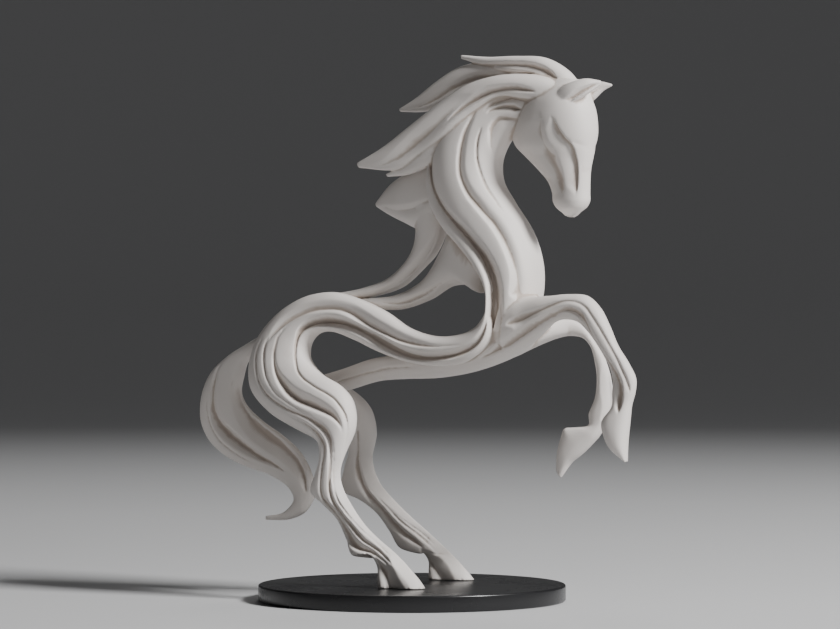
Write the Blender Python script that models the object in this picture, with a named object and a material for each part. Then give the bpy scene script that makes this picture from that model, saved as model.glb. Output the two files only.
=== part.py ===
"""A rearing horse built up from flowing ribbons, standing on a thin round base.

Units are metres and +Z is up. The origin is the centre of the base's underside. The horse
faces +X, and its near side, the one that the photograph shows, is towards -Y.

Every ribbon is drawn as the photograph shows it, in picture columns and rows, and is carried
back from there into the horse's own frame. All of them are then fused into one closed body.
"""

import math

import bmesh
import bpy
import numpy as np

# Real sizes
HORSE_HEIGHT = 0.2108
BASE_DIAMETER = 0.123
BASE_THICKNESS = 0.0066
BASE_BEVEL = 0.0008
SEAT_GAP = 0.0003

# The photograph's own measures: where the base's axis and its top lie in it, the rows from the
# soles to the tip of the mane, and how far away and how high the camera stood, in rows
AXIS_COLUMN = 412
SOLE_ROW = 583
HORSE_ROWS = 527
CAMERA_DISTANCE = 3540
CAMERA_COLUMN = 420
CAMERA_ROW = 314.5
VIEW_TURN = math.radians(22)
STEP = HORSE_HEIGHT / HORSE_ROWS

# How rounded a ribbon's section is, 2 being an ellipse, and how fine the ribbons and the fused
# body are: the rows from ring to ring, the points in a ring, the rows to a cell of the fused skin
ROUNDNESS = 2.5
RING_SPACING = 3.0
RING_POINTS = 96
SKIN_CELL = 2.0
BODY_TRIANGLES = 9180
BASE_SIDES = 96

# The rows over which a facet begins, and how many places are set against a carved line at a time
FACET_RUN = 45
CARVE_BATCH = 4000

# Each ribbon is a row of stations: rear edge column and row, front edge column and row, how far
# its middle lies towards the far side, and its thickness, all in picture rows
NEAR_FLOW = [
    (430, 153, 434, 156, -8, 8),
    (426.6, 174, 433, 172, -15, 14),
    (426.5, 192, 437, 188.5, -17, 16),
    (431.5, 209, 443, 202.5, -18, 18),
    (441.5, 227, 454, 219, -20, 19),
    (459, 248, 472, 240.5, -23, 21),
    (473.5, 268, 487, 262.5, -27, 24),
    (483, 288, 496, 286.5, -31, 27),
    (485.5, 309, 497, 311.5, -34, 29),
    (477.5, 324.5, 494.5, 340.5, -35, 28),
    (461, 334, 468, 361, -36, 26),
    (436, 336, 437, 366, -35, 26),
    (410, 328, 408, 362, -32, 26),
    (385, 311, 380, 352, -27, 28),
    (357, 298, 356, 340, -22, 32),
    (331, 292, 335, 332, -18, 36),
    (304, 297, 322, 333, -17, 38),
    (279, 312, 314, 340, -18, 38),
    (260, 334, 311, 350, -20, 38),
    (250, 360, 313, 362, -24, 38),
    (250, 387, 324, 374, -30, 40),
    (269, 413, 343, 386, -37, 42),
    (296, 430, 354, 403, -42, 40),
    (317, 442, 355, 425, -46, 34),
    (320, 457, 347, 449, -49, 27),
    (315.5, 473, 341.5, 472, -51, 22),
    (310.5, 492, 344, 488, -53, 19),
    (322, 504, 352, 504, -55, 17),
    (336, 519, 366, 525, -57, 16),
    (346, 540, 382, 541, -59, 16),
    (353, 556, 395, 552, -61, 18),
    (371, 556, 405, 562, -62, 20),
    (377, 566, 412, 570, -62, 24),
    (377.5, 580, 419.5, 579, -62, 30),
    (378, 600, 432, 600, -62, 34),
]
FAR_FLOW = [
    (452, 176, 462, 176, 20, 18),
    (458, 202, 470, 196, 25, 22),
    (468, 228, 486, 220, 28, 26),
    (482, 251, 502, 242, 31, 28),
    (494, 272, 514, 264, 33, 30),
    (500, 294, 518, 290, 34, 30),
    (499, 314, 512, 320, 34, 30),
    (486, 330, 496, 347, 34, 28),
    (462, 340, 467, 361, 33, 26),
    (436, 341, 437, 363, 31, 26),
    (410, 334, 408, 359, 28, 26),
    (385, 318, 380, 348, 24, 28),
    (357, 303, 356, 336, 20, 32),
    (331, 298, 335, 328, 18, 36),
    (305, 303, 320, 330, 17, 38),
    (285, 318, 312, 338, 17, 38),
    (275, 340, 309, 352, 18, 38),
    (280, 366, 313, 364, 22, 36),
    (298, 390, 329, 380, 28, 34),
    (322, 411, 354, 391, 34, 33),
    (340, 430, 372, 410, 40, 30),
    (348, 448, 377, 433, 45, 26),
    (344, 468, 373, 459, 49, 22),
    (342, 490, 381, 483, 51, 18),
    (359, 499, 394, 499, 53, 17),
    (376, 512, 412, 517, 55, 16),
    (389, 530, 430, 533, 57, 16),
    (401, 548, 443, 545, 59, 18),
    (419, 549, 453, 555, 61, 20),
    (427, 560, 462, 564, 62, 24),
    (428, 570, 469, 572, 62, 30),
    (428, 595, 484, 595, 62, 34),
]
BELLY = [
    (318, 376, 334, 396, 24, 24),
    (345, 368, 354, 389, 18, 26),
    (375, 358, 381, 381, 10, 28),
    (404, 354, 406, 379, 3, 32),
    (436, 350, 438, 378, -2, 36),
    (468, 342, 474, 372, -3, 42),
    (494, 326, 509, 360, -7, 56),
    (515, 308, 534, 346, 0, 50),
    (532, 296, 546, 326, 13, 22),
]
TAIL = [
    (270, 330, 292, 345, 0, 22),
    (247, 343, 262, 352, 0, 20),
    (228, 355, 249, 362, 2, 22),
    (211, 372, 244, 378, 4, 24),
    (202, 393, 242, 393, 6, 26),
    (200, 414, 247, 405, 8, 26),
    (206, 435, 262, 420, 10, 24),
    (223, 454, 284, 436, 12, 22),
    (248, 467, 303, 455, 14, 19),
    (272, 476, 313, 476, 14, 16),
    (288, 487, 316, 494, 14, 14),
    (294, 499, 307, 511, 14, 12),
    (285, 511, 292, 519, 14, 9),
    (266, 516, 266, 520, 14, 4),
]
NECK = [
    (548, 78, 566, 110, 0, 30),
    (516, 82, 538, 124, 0, 40),
    (482, 96, 514, 138, 0, 48),
    (452, 117, 506, 152, 0, 56),
    (435, 142, 503, 165, 0, 62),
    (431, 172, 505, 182, 0, 66),
    (437, 203, 517, 203, 0, 69),
    (456, 234, 533, 228, 0, 74),
    (476, 260, 542, 251, 0, 79),
    (488, 290, 545, 275, 0, 84),
    (489, 318, 541, 302, 0, 84),
    (482, 347, 522, 334, 0, 64),
]
WITHERS = [
    (432, 158, 452, 170, 8, 30),
    (412, 204, 447, 198, 8, 36),
    (415.5, 233, 448, 228, 8, 34),
    (411.5, 251, 438, 253, 7, 30),
    (401, 267, 423, 270, 6, 26),
    (385, 280, 405, 286, 4, 22),
    (363, 288, 378, 296, 1, 20),
    (342, 292, 350, 303, -2, 20),
    (316, 297, 328, 312, -4, 20),
]
BACK = [
    (456, 200, 492, 262, 0, 50),
    (446, 240, 487, 283, 0, 44),
    (441, 251, 482, 294, 0, 42),
    (436, 260, 472, 287, 0, 39),
    (430, 270, 459, 286, 0, 35),
    (415, 285.5, 432, 300, 0, 28),
    (394, 295, 405, 309.5, -2, 24),
    (368, 298, 378, 311, -4, 22),
    (338, 300, 348, 318, -6, 22),
]
MANE_TIP = [
    (440, 158, 438, 228, 6, 34),
    (418, 168, 421, 230, 7, 35),
    (403, 176, 404, 222, 8, 28),
    (390, 186, 390, 215, 10, 17),
    (376, 203, 377, 207, 12, 5),
]
LOCK_A = [
    (582, 86, 562, 104, 0, 26),
    (570, 71, 553, 92, 0, 28),
    (548, 58, 538, 80, 1, 28),
    (518, 56, 514, 76, 2, 24),
    (490, 57, 490, 68, 4, 16),
    (461, 55, 462, 59, 6, 5),
]
LOCK_B = [
    (527, 60, 515, 86, 8, 26),
    (492, 61, 486, 88, 10, 24),
    (460, 67, 460, 95, 12, 20),
    (436, 82, 443, 106, 13, 16),
    (416, 98, 424, 112, 14, 11),
    (399, 109, 401, 112, 15, 4),
]
LOCK_C = [
    (576, 88, 552, 112, -9, 26),
    (545, 76, 530, 102, -13, 28),
    (508, 74, 500, 98, -16, 28),
    (474, 82, 476, 114, -17, 26),
    (441, 102, 448, 140, -18, 22),
    (411, 125, 422, 156, -17, 17),
    (383, 147, 396, 170, -16, 12),
    (357, 163, 359, 168, -15, 4),
]
LOCK_D = [
    (452, 116, 472, 135, -12, 24),
    (434, 136, 450, 153, -14, 22),
    (417, 153, 429, 167, -14, 16),
    (402, 166, 408, 175, -13, 10),
    (386, 174, 388, 177, -12, 4),
]
NEAR_FORE = [
    (510, 288, 497, 347, -14, 52),
    (519, 287, 507, 354, -12, 58),
    (532, 296, 527, 345.5, -18, 53),
    (550, 296, 545, 329.5, -27, 37),
    (570, 294, 562, 320, -31, 27),
    (587, 295.5, 577, 322, -32, 24),
    (600, 307.5, 588, 332.5, -33, 22),
    (609, 324.5, 597.5, 346, -33, 19),
    (618, 345, 604.5, 358.5, -33, 17),
    (629, 362.5, 609.5, 370, -33, 16),
    (636.5, 379, 611.8, 382, -33, 17),
    (636, 391, 611.5, 393, -33, 18),
    (632.5, 405, 611, 407, -33, 20),
    (631, 420, 601, 422, -33, 26),
    (629.5, 434, 603, 436, -33, 27),
    (628.5, 447, 609, 448.5, -33, 23),
    (628, 462, 624, 462, -33, 9),
]
FAR_FORE = [
    (490, 322, 492, 364, 2, 36),
    (512, 320, 519, 355, 6, 36),
    (534, 320, 541, 345, 13, 32),
    (553, 317, 556, 339, 19, 27),
    (570, 317, 569, 336, 25, 23),
    (585, 325, 583, 338, 27, 20),
    (598, 341, 590.5, 347, 28, 18),
    (606, 358, 595, 364, 28.5, 15),
    (612, 378, 596.5, 382, 29, 14),
    (614, 398, 594, 400, 29, 15),
    (612, 412, 588.5, 414, 29, 17),
    (606, 426, 588, 425, 29, 18),
    (599, 438, 577, 426.5, 29, 23),
    (593.5, 444, 570.5, 427, 29, 24),
    (587.5, 450, 565, 427.8, 29, 25),
    (580.5, 456.5, 560.8, 438.5, 29, 24),
    (573.5, 462, 558, 449, 29, 22),
    (561, 478, 556.5, 469, 29, 9),
]
NEAR_EAR = [
    (548, 96, 553, 111, -12, 14),
    (558, 89.5, 562, 108, -18.5, 17),
    (569, 83, 573, 103.5, -21.5, 17),
    (585, 78.5, 586, 95.5, -20, 13),
    (601, 80.5, 601, 84.5, -15, 4),
]
FAR_EAR = [
    (574, 86, 583, 107, 10, 15),
    (590, 82, 594, 100, 11, 12),
    (602, 81.5, 604, 90.5, 12, 8),
    (612, 84, 612, 86, 13, 4),
]

# Carved lines. Each is its drawn points with the width of the wall beside them, how steep the wall
# is, and how much wider or narrower the slope on the line's other side is. The wall rises from the
# line to the right hand of someone who walks along it, or to the left where the width is negative
NECK_LINES = [
    ([(482, 97, -2), (470, 105, -2), (458, 113, -2), (447, 123, -2), (439, 133, -2), (434, 144, -2),
      (431, 156, -2), (430.5, 166, -2.5), (431, 178, -2.5), (433, 189, -3), (436.5, 199, -4.5),
      (442, 209, -5.5), (451, 220.5, -7), (461, 231.5, -8.5), (469.5, 242, -9.5),
      (477.5, 252, -9.7), (484.5, 262.5, -9.8), (489, 272, -9.8), (491.7, 281, -9.8),
      (493.2, 291, -10), (494, 301, -9.5), (494, 312, -9), (493.3, 322, -8), (491.5, 331, -5)],
     1.0, 1.1),
    ([(475, 112, 0.8), (469, 122, 1.8), (464.2, 132, 2.3), (461.3, 142, 2.6), (459.4, 153.5, 2.8),
      (458.8, 164.7, 2.8), (460, 176, 3), (463.5, 186, 3.2), (469, 196, 3.6), (475.5, 204, 3.8),
      (483, 213, 3.9), (490.5, 221.5, 4.1), (497.5, 231.5, 4.2), (503.5, 242, 4.3),
      (508, 252, 4.4), (511.8, 262, 4.5), (514.5, 272, 4.9), (515.6, 282, 6), (515.6, 292, 7)],
     1.2, 2.6),
    ([(481, 128, 0.8), (477.5, 139.5, 1.5), (476.4, 149.7, 1.6), (477, 160, 1.6), (479.3, 169.4, 1.6),
      (483.1, 179.6, 1.6), (487.7, 189, 1.6), (493.3, 197.4, 1.5), (499, 205.7, 1.2), (504, 213, 0.5)],
     2.2, 1.0),
    ([(519, 109, -2), (516, 108.5, -3.5), (507.4, 107, -4), (498, 107.7, -3.5), (490, 110.5, -2),
      (486, 114, -0.5)], 1.3, 1.2),
    ([(530, 97, 2), (520, 97, 3), (511, 97.5, 3), (501, 100.5, 3), (491, 105, 2.2), (484, 110, 0.8)],
     1.2, 2.0),
    ([(514, 118.5, 1.5), (506, 118, 2.8), (499, 119, 3), (494, 122.5, 3), (491, 128, 3), (490, 136, 2.6),
      (490.5, 146, 1.8), (493, 157, 0.6)], 1.1, 4.0),
]
FLOW_LINES = [
    ([(487, 312, 0.5), (486, 322, 2), (483.5, 331, 3.5), (477, 342, 5), (466, 350.5, 6),
      (452, 355.7, 6.5), (438.5, 357.8, 6.7), (424, 358.3, 7), (410.4, 356.3, 7.5), (396.5, 351.8, 8),
      (384, 345.8, 8.5), (373, 339.5, 8.5), (362, 333.5, 8), (350, 327.7, 8), (338, 323.8, 8),
      (327, 322.6, 8), (316, 323.3, 7), (308, 326, 6), (301, 331, 4.5), (297.8, 337.3, 3),
      (296, 345, 2.2), (295.3, 353.3, 2), (296, 363, 2), (298.1, 371.5, 2), (302.9, 378, 2),
      (310.4, 383.7, 2), (318.9, 389.1, 2.1), (327.5, 393.9, 2.2), (334.9, 399.7, 2.3),
      (340.3, 406.7, 2.4), (344.5, 414.1, 2.6), (346.7, 422.7, 2.6), (347.2, 432.3, 2.3),
      (345.6, 441.9, 1.8), (344.5, 450, 0.6)], 1.5, 0.6),
    ([(310, 315.5, -0.5), (298, 318.5, -1), (288.5, 324.5, -1.3), (282, 330.5, -1.5),
      (277.5, 337, -1.8), (274.8, 346, -2), (273.3, 355.5, -2.5), (273.6, 365, -3.5),
      (276, 374.5, -5.5), (281, 384, -8), (287.5, 392.3, -9.5), (295.5, 398.6, -10.5),
      (304.5, 403, -10.5), (314, 407, -10), (323, 411.2, -9), (331, 416, -7), (337, 422, -4.5),
      (341, 429, -2), (343, 435, -0.4)], 0.8, 0.5),
    ([(462, 345.5, 1), (451, 346, 2), (438.4, 347, 3), (424.4, 346.3, 5.5), (410.4, 344, 8),
      (396.4, 339.8, 10), (382.4, 333.5, 11), (371.2, 328, 11.5), (360, 321, 12), (348.8, 314, 11.5),
      (337.6, 310.2, 10.5), (322.2, 309.7, 10), (309.6, 311.8, 9.5), (298.4, 316.3, 9),
      (288, 322, 8), (279, 329, 6), (271.5, 337, 3), (267, 344, 1)], 0.45, 0.3),
    ([(268, 338, 0.8), (265.6, 343.7, 1.3), (264, 351.2, 1.5), (263.5, 359.7, 1.5),
      (264.3, 368.3, 1.5), (266.1, 376.8, 1.4), (269.9, 385.3, 1.2), (275.2, 392.8, 1.1),
      (282.7, 399.2, 1.1), (291.2, 405.1, 1.1), (299.7, 410.4, 1.1), (308.3, 415.2, 1),
      (314, 419, 0.5)], 1.5, 1.0),
    ([(262, 338, -0.8), (257.5, 348, -1.3), (255.5, 359.7, -1.5), (256, 370.4, -1.6),
      (257.6, 378.9, -1.7), (261.3, 387.5, -1.8), (266.7, 394.9, -2), (274.1, 401.3, -2.1),
      (282.7, 406.9, -2.3), (291.2, 411.3, -2.4), (299.7, 414.7, -2.6), (308.3, 418.6, -3.2),
      (314.7, 423, -4), (321.1, 428, -4.5), (325.5, 433.5, -4.5), (328.3, 440, -4),
      (329.3, 448, -3.5), (329.3, 457, -3), (329.2, 467, -2.8), (328.9, 476, -2.5),
      (328.7, 486, -2.5), (330, 495, -2.8), (333.5, 504, -3), (338.5, 511.5, -3),
      (343.8, 518.7, -3), (349.4, 525.2, -3.5), (356, 533.6, -3.5), (363.4, 541.1, -3),
      (370.9, 546.2, -3), (379.3, 552.3, -3), (386.7, 559.7, -2.5), (391, 564.5, -1)], 1.2, 0.8),
    ([(331.5, 437, -0.5), (333.2, 446, -1), (333, 457, -1.3), (332.8, 468.3, -1.4),
      (333.1, 482.3, -1.4), (334.5, 491.6, -1.4), (337.3, 500, -1.5), (342, 507.5, -1.5),
      (347.6, 515, -1.5), (355, 523.4, -1.6), (363.4, 531.8, -1.6), (370.9, 538.3, -1.6),
      (379.3, 545.7, -1.6), (386.7, 553.2, -1.5), (392, 560, -0.5)], 1.5, 1.0),
    ([(291.2, 416.3, -0.8), (299.7, 420.7, -1.5), (308.3, 426.3, -2.3), (314.7, 431.8, -3),
      (319.5, 438, -3.5), (322.7, 445, -3.5), (323.3, 454.3, -3), (321.9, 463.7, -2.6),
      (320.7, 473, -2.6), (320, 482.3, -2.6), (320, 489.8, -2.8), (321.9, 497.2, -3),
      (326.1, 503.2, -3.5), (330.8, 509.2, -4.5), (336.4, 517, -5), (341.5, 525.5, -6),
      (346.5, 534.5, -7), (351.5, 543, -8), (358.5, 548.3, -7), (365.3, 550.6, -6),
      (371.5, 553, -5), (379.3, 558.3, -4), (386, 564.5, -3), (391, 570, -1)], 0.9, 0.6),
    ([(374, 556, -3), (379, 565, -8), (383, 574, -14), (387, 586, -19), (391, 600, -24)], 0.4, 0.4),
]
FAR_FLOW_LINES = [
    ([(357.5, 432, -2), (358, 450, -2), (357.5, 463, -3), (359, 475, -4), (362, 484, -4),
      (368, 494.5, -4), (374, 502, -4), (381, 509.5, -4), (387, 516.5, -4), (395, 525.5, -4),
      (405, 534.5, -3.5), (415, 541.5, -3), (422, 547, -1.5)], 0.9, 1.3),
    ([(364, 480, -0.5), (368, 486.5, -1), (375, 495, -1.3), (382, 502.5, -1.6), (389, 510, -2),
      (396, 517.5, -2.2), (403, 524, -2.2), (411, 530.3, -2.2), (420, 537, -2), (428, 544, -2),
      (435, 551, -1)], 1.2, 0.8),
    ([(385, 502, -0.5), (391, 509, -1), (399, 517, -1.3), (409, 524.7, -1.4), (419, 531.5, -1.4),
      (428, 539, -1.4), (436, 547, -0.5)], 1.4, 1.0),
    ([(421, 551, -4), (427, 560, -12), (433, 570, -20), (440, 582, -26), (448, 596, -30)], 0.3, 0.4),
]
BARREL_LINES = [FLOW_LINES[0], FLOW_LINES[2]]
TAIL_LINES = [
    ([(222, 362, -1), (217, 370, -1.8), (214.5, 379.6, -2.5), (212.5, 390.6, -3), (211.8, 401.5, -3.5),
      (213, 413, -5), (217.5, 424, -7), (225, 433, -8), (234, 441, -8), (245, 449, -7),
      (258, 457, -5), (272, 464, -3), (285, 472, -1)], 1.1, 0.8),
    ([(207, 398, 0.6), (206.5, 408, 1.2), (208.5, 419, 1.3), (212.5, 430, 1.3), (219.3, 440.3, 1.3),
      (230.2, 449.8, 1.3), (242.5, 457.8, 1.2), (255, 464, 0.6)], 1.3, 1.0),
    ([(240, 380, 3), (239, 392, 6), (241, 404, 9), (247, 415, 12), (257, 426, 14), (270, 437, 14),
      (284, 449, 12), (296, 462, 10), (303, 476, 7), (306, 490, 3)], 0.6, 0.6),
    ([(236, 372, 0.6), (232.5, 382, 1), (232, 392, 1), (235, 402, 1), (240, 411, 0.6)], 1.2, 1.0),
]
LOCK_C_LINES = [
    ([(535, 91.5, 1), (524, 89.5, 4), (512, 88.5, 5), (501, 89.5, 5.5), (490, 92, 6), (478, 97.5, 6),
      (466, 104.5, 5.5), (455, 113, 4), (447, 121, 2), (441, 129, 0.5)], 1.1, 1.0),
    ([(480, 96, 4), (462, 103, 9), (445, 116, 11), (428, 132, 12), (412, 146, 11), (396, 158, 8),
      (380, 165.5, 4), (368, 166.5, 1)], 0.3, 0.9),
]
LOCK_A_LINES = [
    ([(557, 79, 1), (550, 74, 4), (540, 69, 5), (528, 66, 5), (514, 65, 4.5), (500, 65, 4),
      (486, 65, 3), (472, 63, 1)], 0.8, 1.4),
    ([(535, 73.5, 1), (520, 72.5, 2.5), (508, 72, 3), (496, 72, 2.5), (484, 71, 1)], 0.8, 1.0),
]
LOCK_B_LINES = [
    ([(505, 76, 1), (492, 76.5, 5), (478, 78, 7), (464, 83, 7), (450, 90, 6), (436, 99, 5),
      (422, 106, 3), (410, 109, 1)], 0.5, 0.6),
]
WITHERS_LINES = [
    ([(437, 233, 1), (434, 242, 4), (429, 251, 6), (423, 260, 7), (415, 269, 7), (406, 277, 6),
      (396, 284, 5), (383, 290, 3), (370, 293, 1)], 0.6, 0.6),
]
BACK_LINES = [
    ([(442, 283, 2), (430, 291.5, 4), (420, 297, 5), (410, 301, 5), (400, 303.5, 4.5), (390, 304, 3),
      (378, 302, 1)], 0.6, 0.4),
]
MANE_TIP_LINES = [
    ([(427, 201, 3), (412, 208.5, 6), (398, 210.5, 6), (384, 207.5, 3)], 0.35, 1.6),
]
BELLY_LINES = [
    ([(330, 386, 1), (342, 380.5, 1.5), (352, 377.5, 1.5), (363, 374.3, 1.5), (375, 371.5, 1.5),
      (387, 368.8, 1.5), (400, 367.5, 1.2), (415, 367, 0.8)], 1.0, 1.5),
]
NEAR_FORE_LINES = [
    ([(502, 327, -1), (508, 323.5, -4), (517, 319.5, -5), (529, 314, -4.5), (541, 309, -3.5),
      (551, 305, -2.8), (560, 302, -2), (568, 301, -1.4), (575, 301.7, -1.4), (581, 304, -1.5),
      (586, 308, -1.6), (591.1, 315, -1.6), (596.3, 323.2, -1.6), (601.4, 331.5, -1.6),
      (606.6, 340.8, -1.6), (611.8, 350.1, -1.6), (616.9, 359.4, -1.6), (622.1, 370.8, -1.7),
      (626.2, 380.1, -1.8), (628.8, 388.3, -1.6), (629.5, 394, -0.5)], 1.2, 2.0),
    ([(490, 354, -2), (497, 349, -4), (505.5, 343.5, -5), (519.5, 333.5, -5.5),
      (533.5, 323.5, -5.5), (545.5, 317, -5), (557, 311.5, -4.5), (566.3, 310, -4.5),
      (574, 311.5, -4.5), (579.5, 315.5, -4.5),
      (583.5, 322, -4.5), (588, 331, -4.5), (593, 341, -4.2), (598, 349.5, -4), (603.5, 357, -4),
      (609.8, 366.8, -4.2), (615, 375.8, -4.5), (618, 383.5, -4.5), (619, 390, -4.5),
      (619, 398, -4.5), (618.5, 406, -3.5), (618, 413, -1)], 1.4, 1.6),
]
FAR_FORE_LINES = [
    ([(606, 352, 5), (612, 362, 11), (614, 376, 14), (614, 388, 14), (615, 398, 14), (612, 408, 11),
      (606, 418, 6)], 0.5, 0.3),
]
NEAR_EAR_LINES = [
    ([(554, 109, -1), (560.4, 104.8, -2.5), (568.7, 99.8, -4), (577, 94.5, -5), (585, 89.8, -4.5),
      (593, 86, -3), (599, 83.5, -1)], 1.1, 0.6),
]
FAR_EAR_LINES = [
    ([(586, 98, 1), (597, 90, 2), (607, 86, 1)], 0.8, 1.0),
]

# Facets: beyond the drawn line the ribbon falls away flat to its front edge
NEAR_FORE_FACETS = [
    ([(491, 355), (505.5, 345), (519.5, 335), (533.5, 325), (545.5, 318.5), (557, 313), (566, 312),
      (574, 313), (579.5, 317), (584, 323), (589, 332), (594, 341), (599, 350), (604, 358),
      (610, 367), (615, 376), (618, 384), (619, 391), (619, 398), (618.5, 406), (618, 413)], 0.75),
]
FLOW_FACETS = [
    ([(336, 440), (334, 461), (335, 480), (342, 499), (351, 514), (368, 533), (384, 549), (394, 560),
      (405, 578), (418, 600)], 0.85),
]
FAR_FLOW_FACETS = [
    ([(362, 450), (364, 470), (370, 485), (386, 501), (404, 519), (424, 539), (440, 551), (450, 562),
      (460, 578), (470, 595)], 0.8),
]

# The head turns further towards the near side than the body. Its stations are row, rear column,
# front column and half its width, and its lines are pressed into both cheeks
HEAD_TURN = math.radians(36)
HEAD_COLUMN = 555
HEAD_ROUNDNESS = 2.3
HEAD = [
    (84, 548, 580, 13),
    (92, 535, 587, 21),
    (102, 524, 591, 27),
    (114, 515, 595, 30),
    (126, 511.7, 596.7, 31),
    (138, 512, 596.8, 30),
    (148, 515.5, 595, 28),
    (159, 525.5, 592.6, 23),
    (172, 537.5, 590, 19),
    (184, 547, 589.2, 16),
    (196, 551.5, 589, 15),
    (204, 552.2, 588.8, 15),
    (210, 555.5, 585.5, 13),
    (215, 561, 580, 9),
    (217.8, 565, 576, 5.5),
    (219, 569, 572.5, 2),
]
HEAD_LINES = [
    ([(553, 119, -0.8), (555, 125, -2), (558.5, 132, -2.8), (562.8, 138, -3), (567.8, 143.2, -3),
      (571, 148.5, -3), (573, 155, -3), (574.7, 162, -3), (575.4, 170, -3), (575.7, 179, -2.6),
      (576, 187, -1.8), (576, 193, -0.5)], 1.6, 5.5),
    ([(540, 121, -3), (539, 130, -5.5), (540.5, 139, -6.5), (544.5, 148, -7), (549.5, 156, -7),
      (553.5, 164, -6.5), (557.5, 173, -6), (560, 181, -5), (562, 189, -3)], 0.5, 3.5),
    ([(570, 141, -1), (578, 144, -3.5), (587, 146.5, -3.5), (596, 147, -2)], 0.35, 1.5),
    ([(556, 214, -6), (565, 218, -9), (575, 217.5, -10), (586, 213, -7)], 0.5, 0.5),
]


def smooth_step(x):
    x = np.clip(x, 0, 1)
    return x * x * (3 - 2 * x)


def curve_through(rows, count, places=None):
    """Evenly spaced rows along a smooth curve through the given ones."""
    rows = np.array(rows, float)
    path = places if places is not None else rows[:, :2]
    lengths = np.linalg.norm(np.diff(path, axis=0), axis=1)
    t = np.concatenate([[0], np.cumsum(lengths)])
    slope = np.gradient(rows, t, axis=0)
    s = np.linspace(0, t[-1], count)
    i = np.clip(np.searchsorted(t, s, side="right") - 1, 0, len(t) - 2)
    h = (t[i + 1] - t[i])[:, None]
    q = (s - t[i])[:, None] / h
    start = (2 * q**3 - 3 * q**2 + 1) * rows[i] + (q**3 - 2 * q**2 + q) * h * slope[i]
    end = (3 * q**2 - 2 * q**3) * rows[i + 1] + (q**3 - q**2) * h * slope[i + 1]
    return start + end


def from_picture(column, row, aside):
    """The point, in rows, that is drawn at (column, row) and lies that far to the far side."""
    turn_sin, turn_cos = math.sin(VIEW_TURN), math.cos(VIEW_TURN)
    eye = CAMERA_COLUMN - AXIS_COLUMN
    off = column - CAMERA_COLUMN
    x = eye + off * (1 + aside * turn_cos / CAMERA_DISTANCE) - aside * turn_sin
    x = x / (turn_cos + off * turn_sin / CAMERA_DISTANCE)
    depth = aside * turn_cos - x * turn_sin
    up = (CAMERA_ROW - row) * (1 + depth / CAMERA_DISTANCE)
    return np.stack([x, aside + 0 * x, SOLE_ROW - CAMERA_ROW + up], -1)


def in_picture(points):
    """The column and row at which points of the horse's frame are drawn."""
    turn_sin, turn_cos = math.sin(VIEW_TURN), math.cos(VIEW_TURN)
    depth = points[..., 1] * turn_cos - points[..., 0] * turn_sin
    size = 1 / (1 + depth / CAMERA_DISTANCE)
    right = points[..., 0] * turn_cos + points[..., 1] * turn_sin - CAMERA_COLUMN + AXIS_COLUMN
    up = points[..., 2] - SOLE_ROW + CAMERA_ROW
    return np.stack([CAMERA_COLUMN + right * size, CAMERA_ROW - up * size], -1)


def carved(seen, lines):
    """How deep the carved lines lie at those places of the picture; the deepest one counts."""
    places = seen.reshape(-1, 2)
    depth = np.zeros(len(places))
    for points, steepness, slope in lines:
        rows = np.array(points, float)
        path = curve_through(rows, 10 * len(rows))
        ahead = np.gradient(path[:, :2], axis=0)
        reach = np.abs(rows[:, 2]).max() * max(1, slope)
        low, high = rows[:, :2].min(0) - reach, rows[:, :2].max(0) + reach
        close = np.flatnonzero(((places > low) & (places < high)).all(1))
        for start in range(0, len(close), CARVE_BATCH):
            batch = close[start:start + CARVE_BATCH]
            off = places[batch, None] - path[None, :, :2]
            near = (off**2).sum(-1).argmin(1)
            off = off[np.arange(len(batch)), near]
            wall = path[near, 2]
            inside = (near > 0) & (near < len(path) - 1)
            hand = ahead[near, 0] * off[:, 1] - ahead[near, 1] * off[:, 0]
            beside = np.abs(hand) / np.linalg.norm(ahead[near], axis=1)
            distance = np.where(inside, beside, np.linalg.norm(off, axis=1))
            width = np.maximum(np.abs(wall), 0.01)
            rise = np.where(hand * wall > 0, 1 - distance / width,
                            np.clip(1 - distance / (width * slope), 0, 1) ** 1.5)
            depth[batch] = np.maximum(depth[batch], steepness * width * np.clip(rise, 0, 1))
    return depth.reshape(seen.shape[:-1])


def on_ribbon(line, edges):
    """Where a drawn line runs on a ribbon: its share of the width at each ring, and its strength."""
    drawn = curve_through(line, 8 * len(line))
    rear = edges[:, 0:2]
    chord = edges[:, 2:4] - rear
    offset = drawn[:, None] - rear[None]
    share = np.clip((offset * chord).sum(-1) / (chord**2).sum(-1), 0, 1)
    miss = np.linalg.norm(offset - share[..., None] * chord[None], axis=-1)
    ring = miss.argmin(1)
    share = share[np.arange(len(ring)), ring]
    order = np.argsort(ring, kind="stable")
    rings = np.arange(len(edges))
    ends = np.minimum(rings - ring.min(), ring.max() - rings)
    return np.interp(rings, ring[order], share[order]), smooth_step(ends * RING_SPACING / FACET_RUN)


def loft(rings):
    """A closed body through the rings, each end closed by a fan of triangles."""
    count, points, _ = rings.shape
    body = bmesh.new()
    verts = [[body.verts.new(p) for p in ring] for ring in rings]
    for first, second in zip(verts, verts[1:]):
        for j in range(points):
            k = (j + 1) % points
            body.faces.new((first[j], first[k], second[k], second[j]))
    for ring in (verts[0], verts[-1]):
        middle = body.verts.new(sum((v.co for v in ring), ring[0].co * 0) / points)
        for j in range(points):
            body.faces.new((ring[j], ring[(j + 1) % points], middle))
    bmesh.ops.recalc_face_normals(body, faces=body.faces)
    return body


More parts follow.
